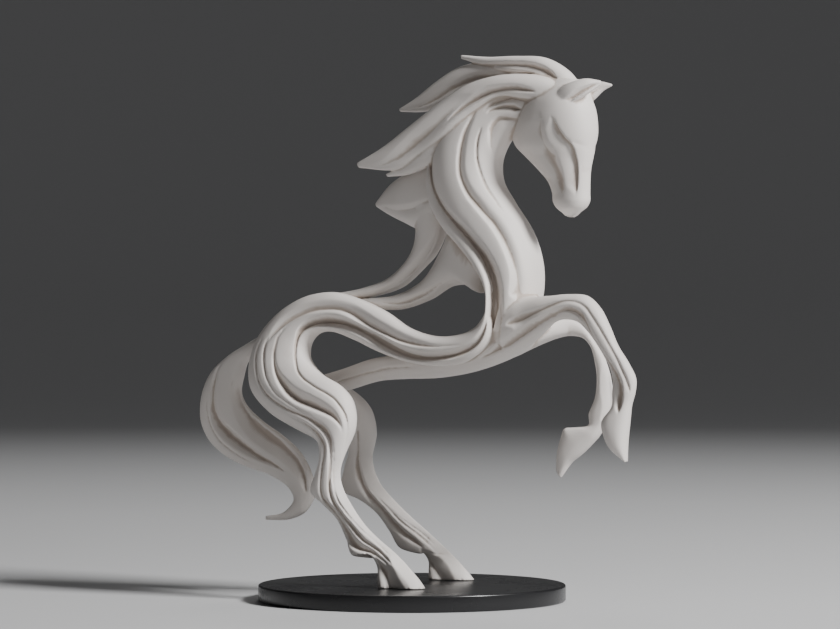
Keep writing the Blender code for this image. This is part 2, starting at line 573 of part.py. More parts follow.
def ribbon(stations, lines=(), facets=(), far_side=1):
    """One flowing ribbon whose outline, seen from the camera, is the drawn one."""
    middles = np.array([[(s[0] + s[2]) / 2, (s[1] + s[3]) / 2] for s in stations])
    length = np.linalg.norm(np.diff(middles, axis=0), axis=1).sum()
    edges = curve_through(stations, int(length / RING_SPACING) + 2, middles)
    aside, thick = edges[:, 4], np.maximum(edges[:, 5], 1)
    rear = from_picture(edges[:, 0], edges[:, 1], aside)
    front = from_picture(edges[:, 2], edges[:, 3], aside)
    middle, across = (rear + front) / 2, (front - rear) / 2
    normal = np.cross(across, np.gradient(middle, axis=0))
    normal /= np.linalg.norm(normal, axis=1, keepdims=True)
    normal *= -np.sign(normal[:, 1].sum())

    chord = edges[:, 2:4] - edges[:, 0:2]
    width = np.linalg.norm(chord, axis=1)
    seen_across = normal[:, 0] * math.cos(VIEW_TURN) + normal[:, 1] * math.sin(VIEW_TURN)
    spread = thick * np.abs(seen_across * chord[:, 0] - normal[:, 2] * chord[:, 1]) / width**2
    dual = ROUNDNESS / (ROUNDNESS - 1)
    across = across * (np.clip(1 - spread**dual, 0.2, 1) ** (1 / dual))[:, None]

    angle = (np.arange(RING_POINTS) + 0.5) * 2 * math.pi / RING_POINTS
    side = np.cos(angle)[None]
    share = (side + 1) / 2
    height = thick[:, None] / 2 * (1 - np.abs(side) ** ROUNDNESS) ** (1 / ROUNDNESS)
    least = 0.25 * height
    for line, fall in facets:
        at, strength = on_ribbon(line, edges)
        beyond = np.clip((share - at[:, None]) / (1 - at[:, None] + 0.01), 0, 1)
        height = height * (1 - fall * strength[:, None] * beyond)
    outward = normal[:, None] * np.where(angle < math.pi, 1, -1)[None, :, None]
    flat = middle[:, None] + across[:, None] * side[..., None]
    cut = carved(in_picture(flat + outward * height[..., None]), lines)
    height = np.maximum(height - cut * np.where(angle < math.pi, 1, far_side)[None], least)
    return loft((flat + outward * height[..., None]) * STEP)


def head():
    """The head: rounded rings from the poll down to the muzzle, with its lines on both cheeks."""
    rows = np.array([(h[0], h[0], h[1], h[2], h[3]) for h in HEAD], float)
    rings = curve_through(rows, int((HEAD[-1][0] - HEAD[0][0]) / RING_SPACING * 1.5), rows[:, :2])
    row, rear, front, half = rings[:, 0], rings[:, 2] - HEAD_COLUMN, rings[:, 3] - HEAD_COLUMN, rings[:, 4]
    turn_sin, turn_cos = math.sin(HEAD_TURN), math.cos(HEAD_TURN)
    dual = HEAD_ROUNDNESS / (HEAD_ROUNDNESS - 1)
    reach = ((front - rear) / 2) ** dual - (np.maximum(half, 2) * turn_sin) ** dual
    reach = np.maximum(reach, 4) ** (1 / dual) / turn_cos
    angle = (np.arange(RING_POINTS) + 0.5) * 2 * math.pi / RING_POINTS
    side = np.sign(np.cos(angle)) * np.abs(np.cos(angle)) ** (2 / HEAD_ROUNDNESS)
    bulge = np.sign(np.sin(angle)) * np.abs(np.sin(angle)) ** (2 / HEAD_ROUNDNESS)
    along = ((front + rear) / 2 / turn_cos)[:, None] + reach[:, None] * side[None]
    jaw = np.where(side < 0, 1 - 0.12 * side**2, 1)
    out = half[:, None] * (bulge * jaw)[None]
    down = np.repeat(row[:, None], RING_POINTS, 1)

    cheek = np.sign(bulge)[None]
    seen = in_picture(head_points(along, -np.abs(out), down))
    out = out - cheek * carved(seen, HEAD_LINES) * (np.abs(bulge)[None] > 0.05)
    return loft(head_points(along, out, down) * STEP)


def head_points(along, out, row):
    """Points that far along the head's own length, out to its far cheek and down the picture."""
    turn = HEAD_TURN - VIEW_TURN
    pivot = from_picture(np.array(float(HEAD_COLUMN)), np.array(150.0), 0.0)
    x = along * math.cos(turn) + out * math.sin(turn) + pivot[0]
    y = out * math.cos(turn) - along * math.sin(turn)
    return np.stack([x, y, SOLE_ROW - row], -1)


def horse_bodies():
    """Every ribbon of the horse and its head, each a closed body of its own."""
    return [
        ribbon(NEAR_FLOW, FLOW_LINES, FLOW_FACETS, far_side=0),
        ribbon(FAR_FLOW, FAR_FLOW_LINES + BARREL_LINES, FAR_FLOW_FACETS),
        ribbon(BELLY, BELLY_LINES),
        ribbon(TAIL, TAIL_LINES),
        ribbon(NECK, NECK_LINES),
        ribbon(WITHERS, WITHERS_LINES),
        ribbon(BACK, BACK_LINES),
        ribbon(MANE_TIP, MANE_TIP_LINES),
        ribbon(LOCK_A, LOCK_A_LINES),
        ribbon(LOCK_B, LOCK_B_LINES),
        ribbon(LOCK_C, LOCK_C_LINES),
        ribbon(LOCK_D),
        ribbon(NEAR_FORE, NEAR_FORE_LINES, NEAR_FORE_FACETS, far_side=0),
        ribbon(FAR_FORE, FAR_FORE_LINES),
        ribbon(NEAR_EAR, NEAR_EAR_LINES),
        ribbon(FAR_EAR, FAR_EAR_LINES),
        head(),
    ]


def principled(name, colour, roughness):
    material = bpy.data.materials.new(name)
    material.use_nodes = True
    shader = material.node_tree.nodes["Principled BSDF"]
    shader.inputs["Base Color"].default_value = (*colour, 1)
    shader.inputs["Roughness"].default_value = roughness
    shader.inputs["Metallic"].default_value = 0
    return material


def add_object(name, body):
    mesh = bpy.data.meshes.new(name)
    body.to_mesh(mesh)
    body.free()
    made = bpy.data.objects.new(name, mesh)
    bpy.context.scene.collection.objects.link(made)
    return made


def as_modified(made):
    """The mesh that an object's modifiers make of it."""
    return bpy.data.meshes.new_from_object(made.evaluated_get(bpy.context.evaluated_depsgraph_get()))


def fused(bodies):
    """The bodies made one closed skin, with few enough faces for a solid."""
    together = bmesh.new()
    for body in bodies:
        piece = bpy.data.meshes.new("piece")
        body.to_mesh(piece)
        body.free()
        together.from_mesh(piece)
        bpy.data.meshes.remove(piece)
    rough = add_object("rough", together)
    fuse = rough.modifiers.new("fuse", "REMESH")
    fuse.mode = "VOXEL"
    fuse.voxel_size = SKIN_CELL * STEP
    rough.data = as_modified(rough)
    rough.modifiers.remove(fuse)
    thin = rough.modifiers.new("thin", "DECIMATE")
    thin.ratio = BODY_TRIANGLES / (2 * len(rough.data.polygons))
    skin = as_modified(rough)
    bpy.data.objects.remove(rough)
    body = bmesh.new()
    body.from_mesh(skin)
    keep_largest(body)
    return body


def keep_largest(body):
    """Drops the closed pockets that fusing leaves inside the body."""
    left = set(body.verts)
    islands = []
    while left:
        seed = left.pop()
        island, edge = {seed}, [seed]
        while edge:
            near = {e.other_vert(v) for v in edge for e in v.link_edges} - island
            island |= near
            edge = list(near)
        left -= island
        islands.append(island)
    islands.sort(key=len, reverse=True)
    spare = [v for island in islands[1:] for v in island]
    bmesh.ops.delete(body, geom=spare, context="VERTS")


def cut_soles(body):
    """Cuts the hooves off flat, so that both soles lie in one plane."""
    everything = body.verts[:] + body.edges[:] + body.faces[:]
    bmesh.ops.bisect_plane(body, geom=everything, plane_co=(0, 0, 0), plane_no=(0, 0, 1), clear_inner=True)
    bmesh.ops.holes_fill(body, edges=[e for e in body.edges if e.is_boundary], sides=0)
    bmesh.ops.triangulate(body, faces=[f for f in body.faces if len(f.verts) > 3])
    bmesh.ops.recalc_face_normals(body, faces=body.faces)


def make_horse():
    body = fused(horse_bodies())
    cut_soles(body)
    for face in body.faces:
        face.smooth = face.normal.z > -0.999
    horse = add_object("horse", body)
    horse.location.z = BASE_THICKNESS + SEAT_GAP
    horse.data.materials.append(principled("white print", (0.75, 0.72, 0.70), 0.6))


def make_base():
    body = bmesh.new()
    radius = BASE_DIAMETER / 2
    bmesh.ops.create_cone(
        body, cap_ends=True, segments=BASE_SIDES, radius1=radius, radius2=radius, depth=BASE_THICKNESS
    )
    for face in body.faces:
        face.smooth = len(face.verts) == 4
    base = add_object("base", body)
    base.location.z = BASE_THICKNESS / 2
    base.data.materials.append(principled("black gloss", (0.012, 0.012, 0.013), 0.25))
    bevel = base.modifiers.new("edge", "BEVEL")
    bevel.width = BASE_BEVEL
    bevel.limit_method = "ANGLE"


for old in list(bpy.data.objects):
    bpy.data.objects.remove(old)
make_base()
make_horse()
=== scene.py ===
# %% [markdown]
# # A rearing horse of flowing ribbons
# The figure is a matte white layered print that stands on its hind hooves on a thin black disc.
# Its neck, back, legs and mane are bands that run into each other and leave holes between them.
# Cutting all of it out of one block would hide how it is made, and a hand sculpt could not be
# measured. So each band is drawn by its two edges and built as a body of its own, and at the end
# all of them are fused into one skin, which is how such a model is made for printing.

# %% The frame
import math

import bmesh
import bpy
import numpy as np
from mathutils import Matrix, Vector


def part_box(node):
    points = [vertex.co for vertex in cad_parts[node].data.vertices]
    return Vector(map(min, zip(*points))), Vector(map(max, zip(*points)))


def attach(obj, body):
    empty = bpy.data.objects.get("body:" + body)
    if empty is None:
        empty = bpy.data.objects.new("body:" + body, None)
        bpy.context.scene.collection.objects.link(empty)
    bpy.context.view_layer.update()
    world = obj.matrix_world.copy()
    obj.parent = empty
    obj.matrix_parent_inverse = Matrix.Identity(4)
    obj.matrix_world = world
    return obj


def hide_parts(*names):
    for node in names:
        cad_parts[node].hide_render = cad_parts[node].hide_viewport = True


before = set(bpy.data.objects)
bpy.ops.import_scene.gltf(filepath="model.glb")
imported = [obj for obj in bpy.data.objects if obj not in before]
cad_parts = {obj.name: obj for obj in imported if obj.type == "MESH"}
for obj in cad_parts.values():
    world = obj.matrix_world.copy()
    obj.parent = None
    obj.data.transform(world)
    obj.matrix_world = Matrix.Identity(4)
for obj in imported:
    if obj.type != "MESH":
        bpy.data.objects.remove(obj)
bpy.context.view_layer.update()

# %% [markdown]
# ## Sizes
# The photograph is the only drawing that there is. Its columns and rows serve as the grid for
# every curve, and one row is a fixed length on the figure: the horse's height over the rows from
# its soles to the tip of its mane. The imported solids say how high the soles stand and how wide
# and thick the disc is, so nothing drifts away from them.

# %% The grid
horse_low, horse_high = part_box("horse")
base_low, base_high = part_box("base")
AXIS_COLUMN = 412
SOLE_ROW = 583
HORSE_ROWS = 527
CAMERA_DISTANCE = 3540
CAMERA_COLUMN = 420
CAMERA_ROW = 314.5
VIEW_TURN = math.radians(22)
VIEW_SIN, VIEW_COS = math.sin(VIEW_TURN), math.cos(VIEW_TURN)
HORSE_HEIGHT = 0.2108
STEP = HORSE_HEIGHT / HORSE_ROWS
SOLE_HEIGHT = horse_low.z
print(f"a row is {1000 * STEP:.2f} mm, the soles are {1000 * SOLE_HEIGHT:.1f} mm up,",
      f"and the solid horse is {1000 * (horse_high.z - horse_low.z):.1f} mm high")

# %% [markdown]
# ## From the picture to the figure
# A band's edge is known by where it is drawn. Where it lies in depth is not, so every station
# also says how far aside it is, towards the far side of the horse. With both, one sum carries a
# drawn point back along its line of sight to its place in the horse's own frame, and another
# carries a place of the frame forward into the picture. The frame's unit here is the row.

# %% Picture and frame
def from_picture(column, row, aside):
    """The point, in rows, that is drawn at (column, row) and lies that far to the far side."""
    eye = CAMERA_COLUMN - AXIS_COLUMN
    off = column - CAMERA_COLUMN
    x = eye + off * (1 + aside * VIEW_COS / CAMERA_DISTANCE) - aside * VIEW_SIN
    x = x / (VIEW_COS + off * VIEW_SIN / CAMERA_DISTANCE)
    depth = aside * VIEW_COS - x * VIEW_SIN
    up = (CAMERA_ROW - row) * (1 + depth / CAMERA_DISTANCE)
    return np.stack([x, aside + 0 * x, SOLE_ROW - CAMERA_ROW + up], -1)


def in_picture(points):
    """The column and row at which points of the horse's frame are drawn."""
    depth = points[..., 1] * VIEW_COS - points[..., 0] * VIEW_SIN
    size = 1 / (1 + depth / CAMERA_DISTANCE)
    right = points[..., 0] * VIEW_COS + points[..., 1] * VIEW_SIN - CAMERA_COLUMN + AXIS_COLUMN
    up = points[..., 2] - SOLE_ROW + CAMERA_ROW
    return np.stack([CAMERA_COLUMN + right * size, CAMERA_ROW - up * size], -1)


cheek = from_picture(np.array([555.0]), np.array([150.0]), np.array([-20.0]))
print("a point of the cheek lies at", cheek.round(1))
print("and it is drawn again at", in_picture(cheek).round(1))

# %% [markdown]
# ## Smooth edges from few stations
# A band is drawn by ten to thirty stations, and the eye sees every corner of an edge. A Hermite
# curve through the stations stays where they are drawn and has no corners. Points are taken from
# it at equal distances, so that the rings of the band are evenly spaced.

# %% Curves through stations
def smooth_step(x):
    """From 0 to 1 with a soft start and a soft end."""
    x = np.clip(x, 0, 1)
    return x * x * (3 - 2 * x)


def curve_through(rows, count, places=None):
    """Evenly spaced rows along a smooth curve through the given ones."""
    rows = np.array(rows, float)
    path = places if places is not None else rows[:, :2]
    lengths = np.linalg.norm(np.diff(path, axis=0), axis=1)
    t = np.concatenate([[0], np.cumsum(lengths)])
    slope = np.gradient(rows, t, axis=0)
    s = np.linspace(0, t[-1], count)
    i = np.clip(np.searchsorted(t, s, side="right") - 1, 0, len(t) - 2)
    h = (t[i + 1] - t[i])[:, None]
    q = (s - t[i])[:, None] / h
    start = (2 * q**3 - 3 * q**2 + 1) * rows[i] + (q**3 - 2 * q**2 + q) * h * slope[i]
    end = (3 * q**2 - 2 * q**3) * rows[i + 1] + (q**3 - q**2) * h * slope[i + 1]
    return start + end


bend = curve_through([(0, 0), (10, 4), (20, 0)], 5)
print("five points along a bend:", bend.round(1).tolist())

# %% [markdown]
# ## Carved lines
# What makes the bands look like flowing hair is the lines that are cut along them. On the real
# figure a line has a crisp wall on one side and a soft slope on the other. It could be a bump
# in the material, but then it would be gone in the outline and in the printed mesh. So each line
# is a drawn path with the width of its wall, and it is pressed into a band before the fusing.
# The wall rises to the right hand of someone who walks along the line, or to the left where its
# width is negative.

# %% Carving
CARVE_BATCH = 4000
PATH_FINENESS = 10
THINNEST_WALL = 0.01
SLOPE_EASE = 1.5


def carved(seen, lines):
    """How deep the carved lines lie at those places of the picture; the deepest one counts."""
    places = seen.reshape(-1, 2)
    depth = np.zeros(len(places))
    for points, steepness, slope in lines:
        rows = np.array(points, float)
        path = curve_through(rows, PATH_FINENESS * len(rows))
        ahead = np.gradient(path[:, :2], axis=0)
        reach = np.abs(rows[:, 2]).max() * max(1, slope)
        low, high = rows[:, :2].min(0) - reach, rows[:, :2].max(0) + reach
        close = np.flatnonzero(((places > low) & (places < high)).all(1))
        for start in range(0, len(close), CARVE_BATCH):
            batch = close[start:start + CARVE_BATCH]
            off = places[batch, None] - path[None, :, :2]
            near = (off**2).sum(-1).argmin(1)
            off = off[np.arange(len(batch)), near]
            wall = path[near, 2]
            inside = (near > 0) & (near < len(path) - 1)
            hand = ahead[near, 0] * off[:, 1] - ahead[near, 1] * off[:, 0]
            beside = np.abs(hand) / np.linalg.norm(ahead[near], axis=1)
            distance = np.where(inside, beside, np.linalg.norm(off, axis=1))
            width = np.maximum(np.abs(wall), THINNEST_WALL)
            rise = np.where(hand * wall > 0, 1 - distance / width,
                            np.clip(1 - distance / (width * slope), 0, 1) ** SLOPE_EASE)
            depth[batch] = np.maximum(depth[batch], steepness * width * np.clip(rise, 0, 1))
    return depth.reshape(seen.shape[:-1])


places = np.array([[0.0, 5.0], [-1.0, 5.0], [2.0, 5.0]])
sample = carved(places, [([(0, 0, 2), (0, 10, 2)], 1.0, 0.8)])
print("rows deep on a line, one row up its wall and past its slope:", sample.round(2).tolist())

# %% [markdown]
# ## One ribbon
# A ribbon is a loft: rings across the band, each ring a rounded oblong whose ends lie on the two
# drawn edges. Seen from the camera a thick band would bulge past its drawn edge, so each ring is
# narrowed by just as much. A facet lets the band fall away flat beyond a line, as on the legs,
# where the front of the shin is a flat strip that takes the light. No line cuts right through a
# band: a share of its thickness always stays.

# %% Ribbons
ROUNDNESS = 2.5
RING_SPACING = 1.0
RING_POINTS = 280
RING_ANGLES = (np.arange(RING_POINTS) + 0.5) * 2 * math.pi / RING_POINTS
FACET_RUN = 45
FACET_FINENESS = 8
FACET_RIM = 0.01
NARROWEST = 0.2
UNCUT_SHARE = 0.25


def loft(rings):
    """A closed body through the rings, each end closed by a fan of triangles."""
    points = rings.shape[1]
    body = bmesh.new()
    verts = [[body.verts.new(p) for p in ring] for ring in rings]
    for first, second in zip(verts, verts[1:]):
        for j in range(points):
            k = (j + 1) % points
            body.faces.new((first[j], first[k], second[k], second[j]))
    for ring in (verts[0], verts[-1]):
        middle = body.verts.new(sum((v.co for v in ring), ring[0].co * 0) / points)
        for j in range(points):
            body.faces.new((ring[j], ring[(j + 1) % points], middle))
    bmesh.ops.recalc_face_normals(body, faces=body.faces)
    return body


def on_ribbon(line, edges):
    """Where a drawn line crosses each ring, as a share of the width, and how strong it is."""
    drawn = curve_through(line, FACET_FINENESS * len(line))
    rear = edges[:, 0:2]
    chord = edges[:, 2:4] - rear
    offset = drawn[:, None] - rear[None]
    share = np.clip((offset * chord).sum(-1) / (chord**2).sum(-1), 0, 1)
    miss = np.linalg.norm(offset - share[..., None] * chord[None], axis=-1)
    ring = miss.argmin(1)
    share = share[np.arange(len(ring)), ring]
    order = np.argsort(ring, kind="stable")
    rings = np.arange(len(edges))
    ends = np.minimum(rings - ring.min(), ring.max() - rings)
    return np.interp(rings, ring[order], share[order]), smooth_step(ends * RING_SPACING / FACET_RUN)


def ribbon(stations, lines=(), facets=(), far_side=1):
    """One flowing ribbon whose outline, seen from the camera, is the drawn one."""
    middles = np.array([[(s[0] + s[2]) / 2, (s[1] + s[3]) / 2] for s in stations])
    length = np.linalg.norm(np.diff(middles, axis=0), axis=1).sum()
    edges = curve_through(stations, int(length / RING_SPACING) + 2, middles)
    aside, thick = edges[:, 4], np.maximum(edges[:, 5], 1)
    rear = from_picture(edges[:, 0], edges[:, 1], aside)
    front = from_picture(edges[:, 2], edges[:, 3], aside)
    middle, across = (rear + front) / 2, (front - rear) / 2
    normal = np.cross(across, np.gradient(middle, axis=0))
    normal /= np.linalg.norm(normal, axis=1, keepdims=True)
    normal *= -np.sign(normal[:, 1].sum())

    chord = edges[:, 2:4] - edges[:, 0:2]
    width = np.linalg.norm(chord, axis=1)
    seen_across = normal[:, 0] * VIEW_COS + normal[:, 1] * VIEW_SIN
    spread = thick * np.abs(seen_across * chord[:, 0] - normal[:, 2] * chord[:, 1]) / width**2
    dual = ROUNDNESS / (ROUNDNESS - 1)
    across = across * (np.clip(1 - spread**dual, NARROWEST, 1) ** (1 / dual))[:, None]

    near = RING_ANGLES < math.pi
    side = np.cos(RING_ANGLES)[None]
    share = (side + 1) / 2
    height = thick[:, None] / 2 * (1 - np.abs(side) ** ROUNDNESS) ** (1 / ROUNDNESS)
    least = UNCUT_SHARE * height
    for line, fall in facets:
        at, strength = on_ribbon(line, edges)
        beyond = np.clip((share - at[:, None]) / (1 - at[:, None] + FACET_RIM), 0, 1)
        height = height * (1 - fall * strength[:, None] * beyond)
    outward = normal[:, None] * np.where(near, 1, -1)[None, :, None]
    flat = middle[:, None] + across[:, None] * side[..., None]
    cut = carved(in_picture(flat + outward * height[..., None]), lines)
    height = np.maximum(height - cut * np.where(near, 1, far_side)[None], least)
    return loft((flat + outward * height[..., None]) * STEP)


bodies = []


def add_ribbon(title, *drawn, **how):
    """Builds a ribbon, keeps it for the fusing and says how large it is."""
    body = ribbon(*drawn, **how)
    corners = np.array([v.co for v in body.verts])
    size = 1000 * (corners.max(0) - corners.min(0))
    print(f"{title}: {len(body.verts)} points, {size[0]:.0f} x {size[1]:.0f} x {size[2]:.0f} mm")
    bodies.append(body)

# %% [markdown]
# ## Barrel and near hind leg
# The longest band starts behind the neck, runs down the chest, turns back along the barrel,
# folds over the rump and becomes the near hind leg down to its hoof. It is one strip on the real
# figure, so it is one ribbon here: rear edge column and row, front edge column and row, how far
# aside, and how thick. Its carved lines run the whole way with it. The hoof ends below the sole,
# where everything is cut off flat later.

# %% Near flow
NEAR_FLOW = [
    (430, 153, 434, 156, -8, 8),
    (426.6, 174, 433, 172, -15, 14),
    (426.5, 192, 437, 188.5, -17, 16),
    (431.5, 209, 443, 202.5, -18, 18),
    (441.5, 227, 454, 219, -20, 19),
    (459, 248, 472, 240.5, -23, 21),
    (473.5, 268, 487, 262.5, -27, 24),
    (483, 288, 496, 286.5, -31, 27),
    (485.5, 309, 495.5, 311.5, -34, 29),
    (477.5, 324.5, 492, 338.5, -35, 28),
    (461, 334, 468, 361, -36, 26),
    (436, 336, 437, 366, -35, 26),
    (410, 328, 408, 362, -32, 26),
    (385, 311, 380, 352, -27, 28),
    (357, 298, 356, 340, -22, 32),
    (331, 292, 335, 332, -18, 36),
    (304, 297, 322, 333, -17, 38),
    (279, 312, 314, 340, -18, 38),
    (260, 334, 311, 350, -20, 38),
    (250, 360, 313, 362, -24, 38),
    (250, 387, 324, 374, -30, 40),
    (269, 413, 343, 386, -37, 42),
    (296, 430, 354, 403, -42, 40),
    (317, 442, 355, 425, -46, 34),
    (320, 457, 347, 449, -49, 27),
    (315.5, 473, 341.5, 472, -51, 22),
    (310.5, 492, 344, 488, -53, 19),
    (322, 504, 352, 504, -55, 17),
    (336, 519, 366, 525, -57, 16),
    (346, 540, 382, 541, -59, 16),
    (353, 556, 395, 552, -61, 18),
    (371, 556, 405, 562, -62, 20),
    (377, 566, 412, 570, -62, 24),
    (377.5, 580, 419.5, 579, -62, 30),
    (378, 600, 432, 600, -62, 34),
]
FLOW_LINES = [
    ([(487, 312, 0.5), (486, 322, 2), (483.5, 331, 3.5), (477, 342, 5), (466, 350.5, 6),
      (452, 355.7, 6.5), (438.5, 357.8, 6.7), (424, 358.3, 7), (410.4, 356.3, 7.5),
      (396.5, 351.8, 8), (384, 345.8, 8.5), (373, 339.5, 8.5), (362, 333.5, 8), (350, 327.7, 8),
      (338, 323.8, 8), (327, 322.6, 8), (316, 323.3, 7), (308, 326, 6), (301, 331, 4.5),
      (297.8, 337.3, 3), (296, 345, 2.2), (295.3, 353.3, 2), (296, 363, 2), (298.1, 371.5, 2),
      (302.9, 378, 2), (310.4, 383.7, 2), (318.9, 389.1, 2.1), (327.5, 393.9, 2.2),
      (334.9, 399.7, 2.3), (340.3, 406.7, 2.4), (344.5, 414.1, 2.6), (346.7, 422.7, 2.6),
      (347.2, 432.3, 2.3), (345.6, 441.9, 1.8), (344.5, 450, 0.6)], 1.5, 0.6),
    ([(310, 315.5, -0.5), (298, 318.5, -1), (288.5, 324.5, -1.3), (282, 330.5, -1.5),
      (277.5, 337, -1.8), (274.8, 346, -2), (273.3, 355.5, -2.5), (273.6, 365, -3.5),
      (276, 374.5, -5.5), (281, 384, -8), (287.5, 392.3, -9.5), (295.5, 398.6, -10.5),
      (304.5, 403, -10.5), (314, 407, -10), (323, 411.2, -9), (331, 416, -7), (337, 422, -4.5),
      (341, 429, -2), (343, 435, -0.4)], 0.8, 0.5),
    ([(462, 345.5, 1), (451, 346, 2), (438.4, 347, 3), (424.4, 346.3, 5.5), (410.4, 344, 8),
      (396.4, 339.8, 10), (382.4, 333.5, 11), (371.2, 328, 11.5), (360, 321, 12),
      (348.8, 314, 11.5), (337.6, 310.2, 10.5), (322.2, 309.7, 10), (309.6, 311.8, 9.5),
      (298.4, 316.3, 9), (288, 322, 8), (279, 329, 6), (271.5, 337, 3), (267, 344, 1)], 0.45, 0.3),
    ([(268, 338, 0.8), (265.6, 343.7, 1.3), (264, 351.2, 1.5), (263.5, 359.7, 1.5),
      (264.3, 368.3, 1.5), (266.1, 376.8, 1.4), (269.9, 385.3, 1.2), (275.2, 392.8, 1.1),
      (282.7, 399.2, 1.1), (291.2, 405.1, 1.1), (299.7, 410.4, 1.1), (308.3, 415.2, 1),
      (314, 419, 0.5)], 1.5, 1.0),
    ([(262, 338, -0.8), (257.5, 348, -1.3), (255.5, 359.7, -1.5), (256, 370.4, -1.6),
      (257.6, 378.9, -1.7), (261.3, 387.5, -1.8), (266.7, 394.9, -2), (274.1, 401.3, -2.1),
      (282.7, 406.9, -2.3), (291.2, 411.3, -2.4), (299.7, 414.7, -2.6), (308.3, 418.6, -3.2),
      (314.7, 423, -4), (321.1, 428, -4.5), (325.5, 433.5, -4.5), (328.3, 440, -4),
      (329.3, 448, -3.5), (329.3, 457, -3), (329.2, 467, -2.8), (328.9, 476, -2.5),
      (328.7, 486, -2.5), (330, 495, -2.8), (333.5, 504, -3), (338.5, 511.5, -3),
      (343.8, 518.7, -3), (349.4, 525.2, -3.5), (356, 533.6, -3.5), (363.4, 541.1, -3),
      (370.9, 546.2, -3), (379.3, 552.3, -3), (386.7, 559.7, -2.5), (391, 564.5, -1)], 1.2, 0.8),
    ([(331.5, 437, -0.5), (333.2, 446, -1), (333, 457, -1.3), (332.8, 468.3, -1.4),
      (333.1, 482.3, -1.4), (334.5, 491.6, -1.4), (337.3, 500, -1.5), (342, 507.5, -1.5),
      (347.6, 515, -1.5), (355, 523.4, -1.6), (363.4, 531.8, -1.6), (370.9, 538.3, -1.6),
      (379.3, 545.7, -1.6), (386.7, 553.2, -1.5), (392, 560, -0.5)], 1.5, 1.0),
    ([(291.2, 416.3, -0.8), (299.7, 420.7, -1.5), (308.3, 426.3, -2.3), (314.7, 431.8, -3),
      (319.5, 438, -3.5), (322.7, 445, -3.5), (323.3, 454.3, -3), (321.9, 463.7, -2.6),
      (320.7, 473, -2.6), (320, 482.3, -2.6), (320, 489.8, -2.8), (321.9, 497.2, -3),
      (326.1, 503.2, -3.5), (330.8, 509.2, -4.5), (336.4, 517, -5), (341.5, 525.5, -6),
      (346.5, 534.5, -7), (351.5, 543, -8), (358.5, 548.3, -7), (365.3, 550.6, -6),
      (371.5, 553, -5), (379.3, 558.3, -4), (386, 564.5, -3), (391, 570, -1)], 0.9, 0.6),
    ([(374, 556, -3), (379, 565, -8), (383, 574, -14), (387, 586, -19),
      (391, 600, -24)], 0.4, 0.4),
]
FLOW_FACETS = [
    ([(336, 440), (334, 461), (335, 480), (342, 499), (351, 514), (368, 533), (384, 549),
      (394, 560), (405, 578), (418, 600)], 0.85),
]
add_ribbon("barrel and near hind leg", NEAR_FLOW, FLOW_LINES, FLOW_FACETS, far_side=0)

# %% [markdown]
# ## The far side of barrel and hind leg
# The photograph shows only the far leg and a rim of the far barrel. The hidden face is made in
# keeping with the near one: the same course, set aside to the far side, with the two main lines
# of the barrel repeated on it.

# %% Far flow
FAR_FLOW = [
    (452, 176, 462, 176, 20, 18),
    (458, 202, 470, 196, 25, 22),
    (468, 228, 486, 220, 28, 26),
    (482, 251, 502, 242, 31, 28),
    (494, 272, 514, 264, 33, 30),
    (500, 294, 518, 290, 34, 30),
    (499, 314, 512, 320, 34, 30),
    (486, 330, 496, 347, 34, 28),
    (462, 340, 467, 361, 33, 26),
    (436, 341, 437, 363, 31, 26),
    (410, 334, 408, 359, 28, 26),
    (385, 318, 380, 348, 24, 28),
    (357, 303, 356, 336, 20, 32),
    (331, 298, 335, 328, 18, 36),
    (305, 303, 320, 330, 17, 38),
    (285, 318, 312, 338, 17, 38),
    (275, 340, 309, 352, 18, 38),
    (280, 366, 313, 364, 22, 36),
    (298, 390, 329, 380, 28, 34),
    (322, 411, 354, 391, 34, 33),
    (340, 430, 372, 410, 40, 30),
    (348, 448, 377, 433, 45, 26),
    (344, 468, 373, 459, 49, 22),
    (342, 490, 381, 483, 51, 18),
    (359, 499, 394, 499, 53, 17),
    (376, 512, 412, 517, 55, 16),
    (389, 530, 430, 533, 57, 16),
    (401, 548, 443, 545, 59, 18),
    (419, 549, 453, 555, 61, 20),
    (427, 560, 462, 564, 62, 24),
    (428, 570, 469, 572, 62, 30),
    (428, 595, 484, 595, 62, 34),
]
FAR_FLOW_LINES = [
    ([(357.5, 432, -2), (358, 450, -2), (357.5, 463, -3), (359, 475, -4), (362, 484, -4),
      (368, 494.5, -4), (374, 502, -4), (381, 509.5, -4), (387, 516.5, -4), (395, 525.5, -4),
      (405, 534.5, -3.5), (415, 541.5, -3), (422, 547, -1.5)], 0.9, 1.3),
    ([(364, 480, -0.5), (368, 486.5, -1), (375, 495, -1.3), (382, 502.5, -1.6), (389, 510, -2),
      (396, 517.5, -2.2), (403, 524, -2.2), (411, 530.3, -2.2), (420, 537, -2), (428, 544, -2),
      (435, 551, -1)], 1.2, 0.8),
    ([(385, 502, -0.5), (391, 509, -1), (399, 517, -1.3), (409, 524.7, -1.4), (419, 531.5, -1.4),
      (428, 539, -1.4), (436, 547, -0.5)], 1.4, 1.0),
    ([(421, 551, -4), (427, 560, -12), (433, 570, -20), (440, 582, -26),
      (448, 596, -30)], 0.3, 0.4),
]
FAR_FLOW_FACETS = [
    ([(362, 450), (364, 470), (370, 485), (386, 501), (404, 519), (424, 539), (440, 551),
      (450, 562), (460, 578), (470, 595)], 0.8),
]
BARREL_LINES = [FLOW_LINES[0], FLOW_LINES[2]]
add_ribbon("far barrel and hind leg", FAR_FLOW, FAR_FLOW_LINES + BARREL_LINES, FAR_FLOW_FACETS)

# %% [markdown]
# ## The belly strap
# Below the barrel a narrower strap leaves the thigh and swells into the chest. With the barrel it
# frames the lower hole. It stays thin where the hole is, and thick where the forelegs grow from
# it.

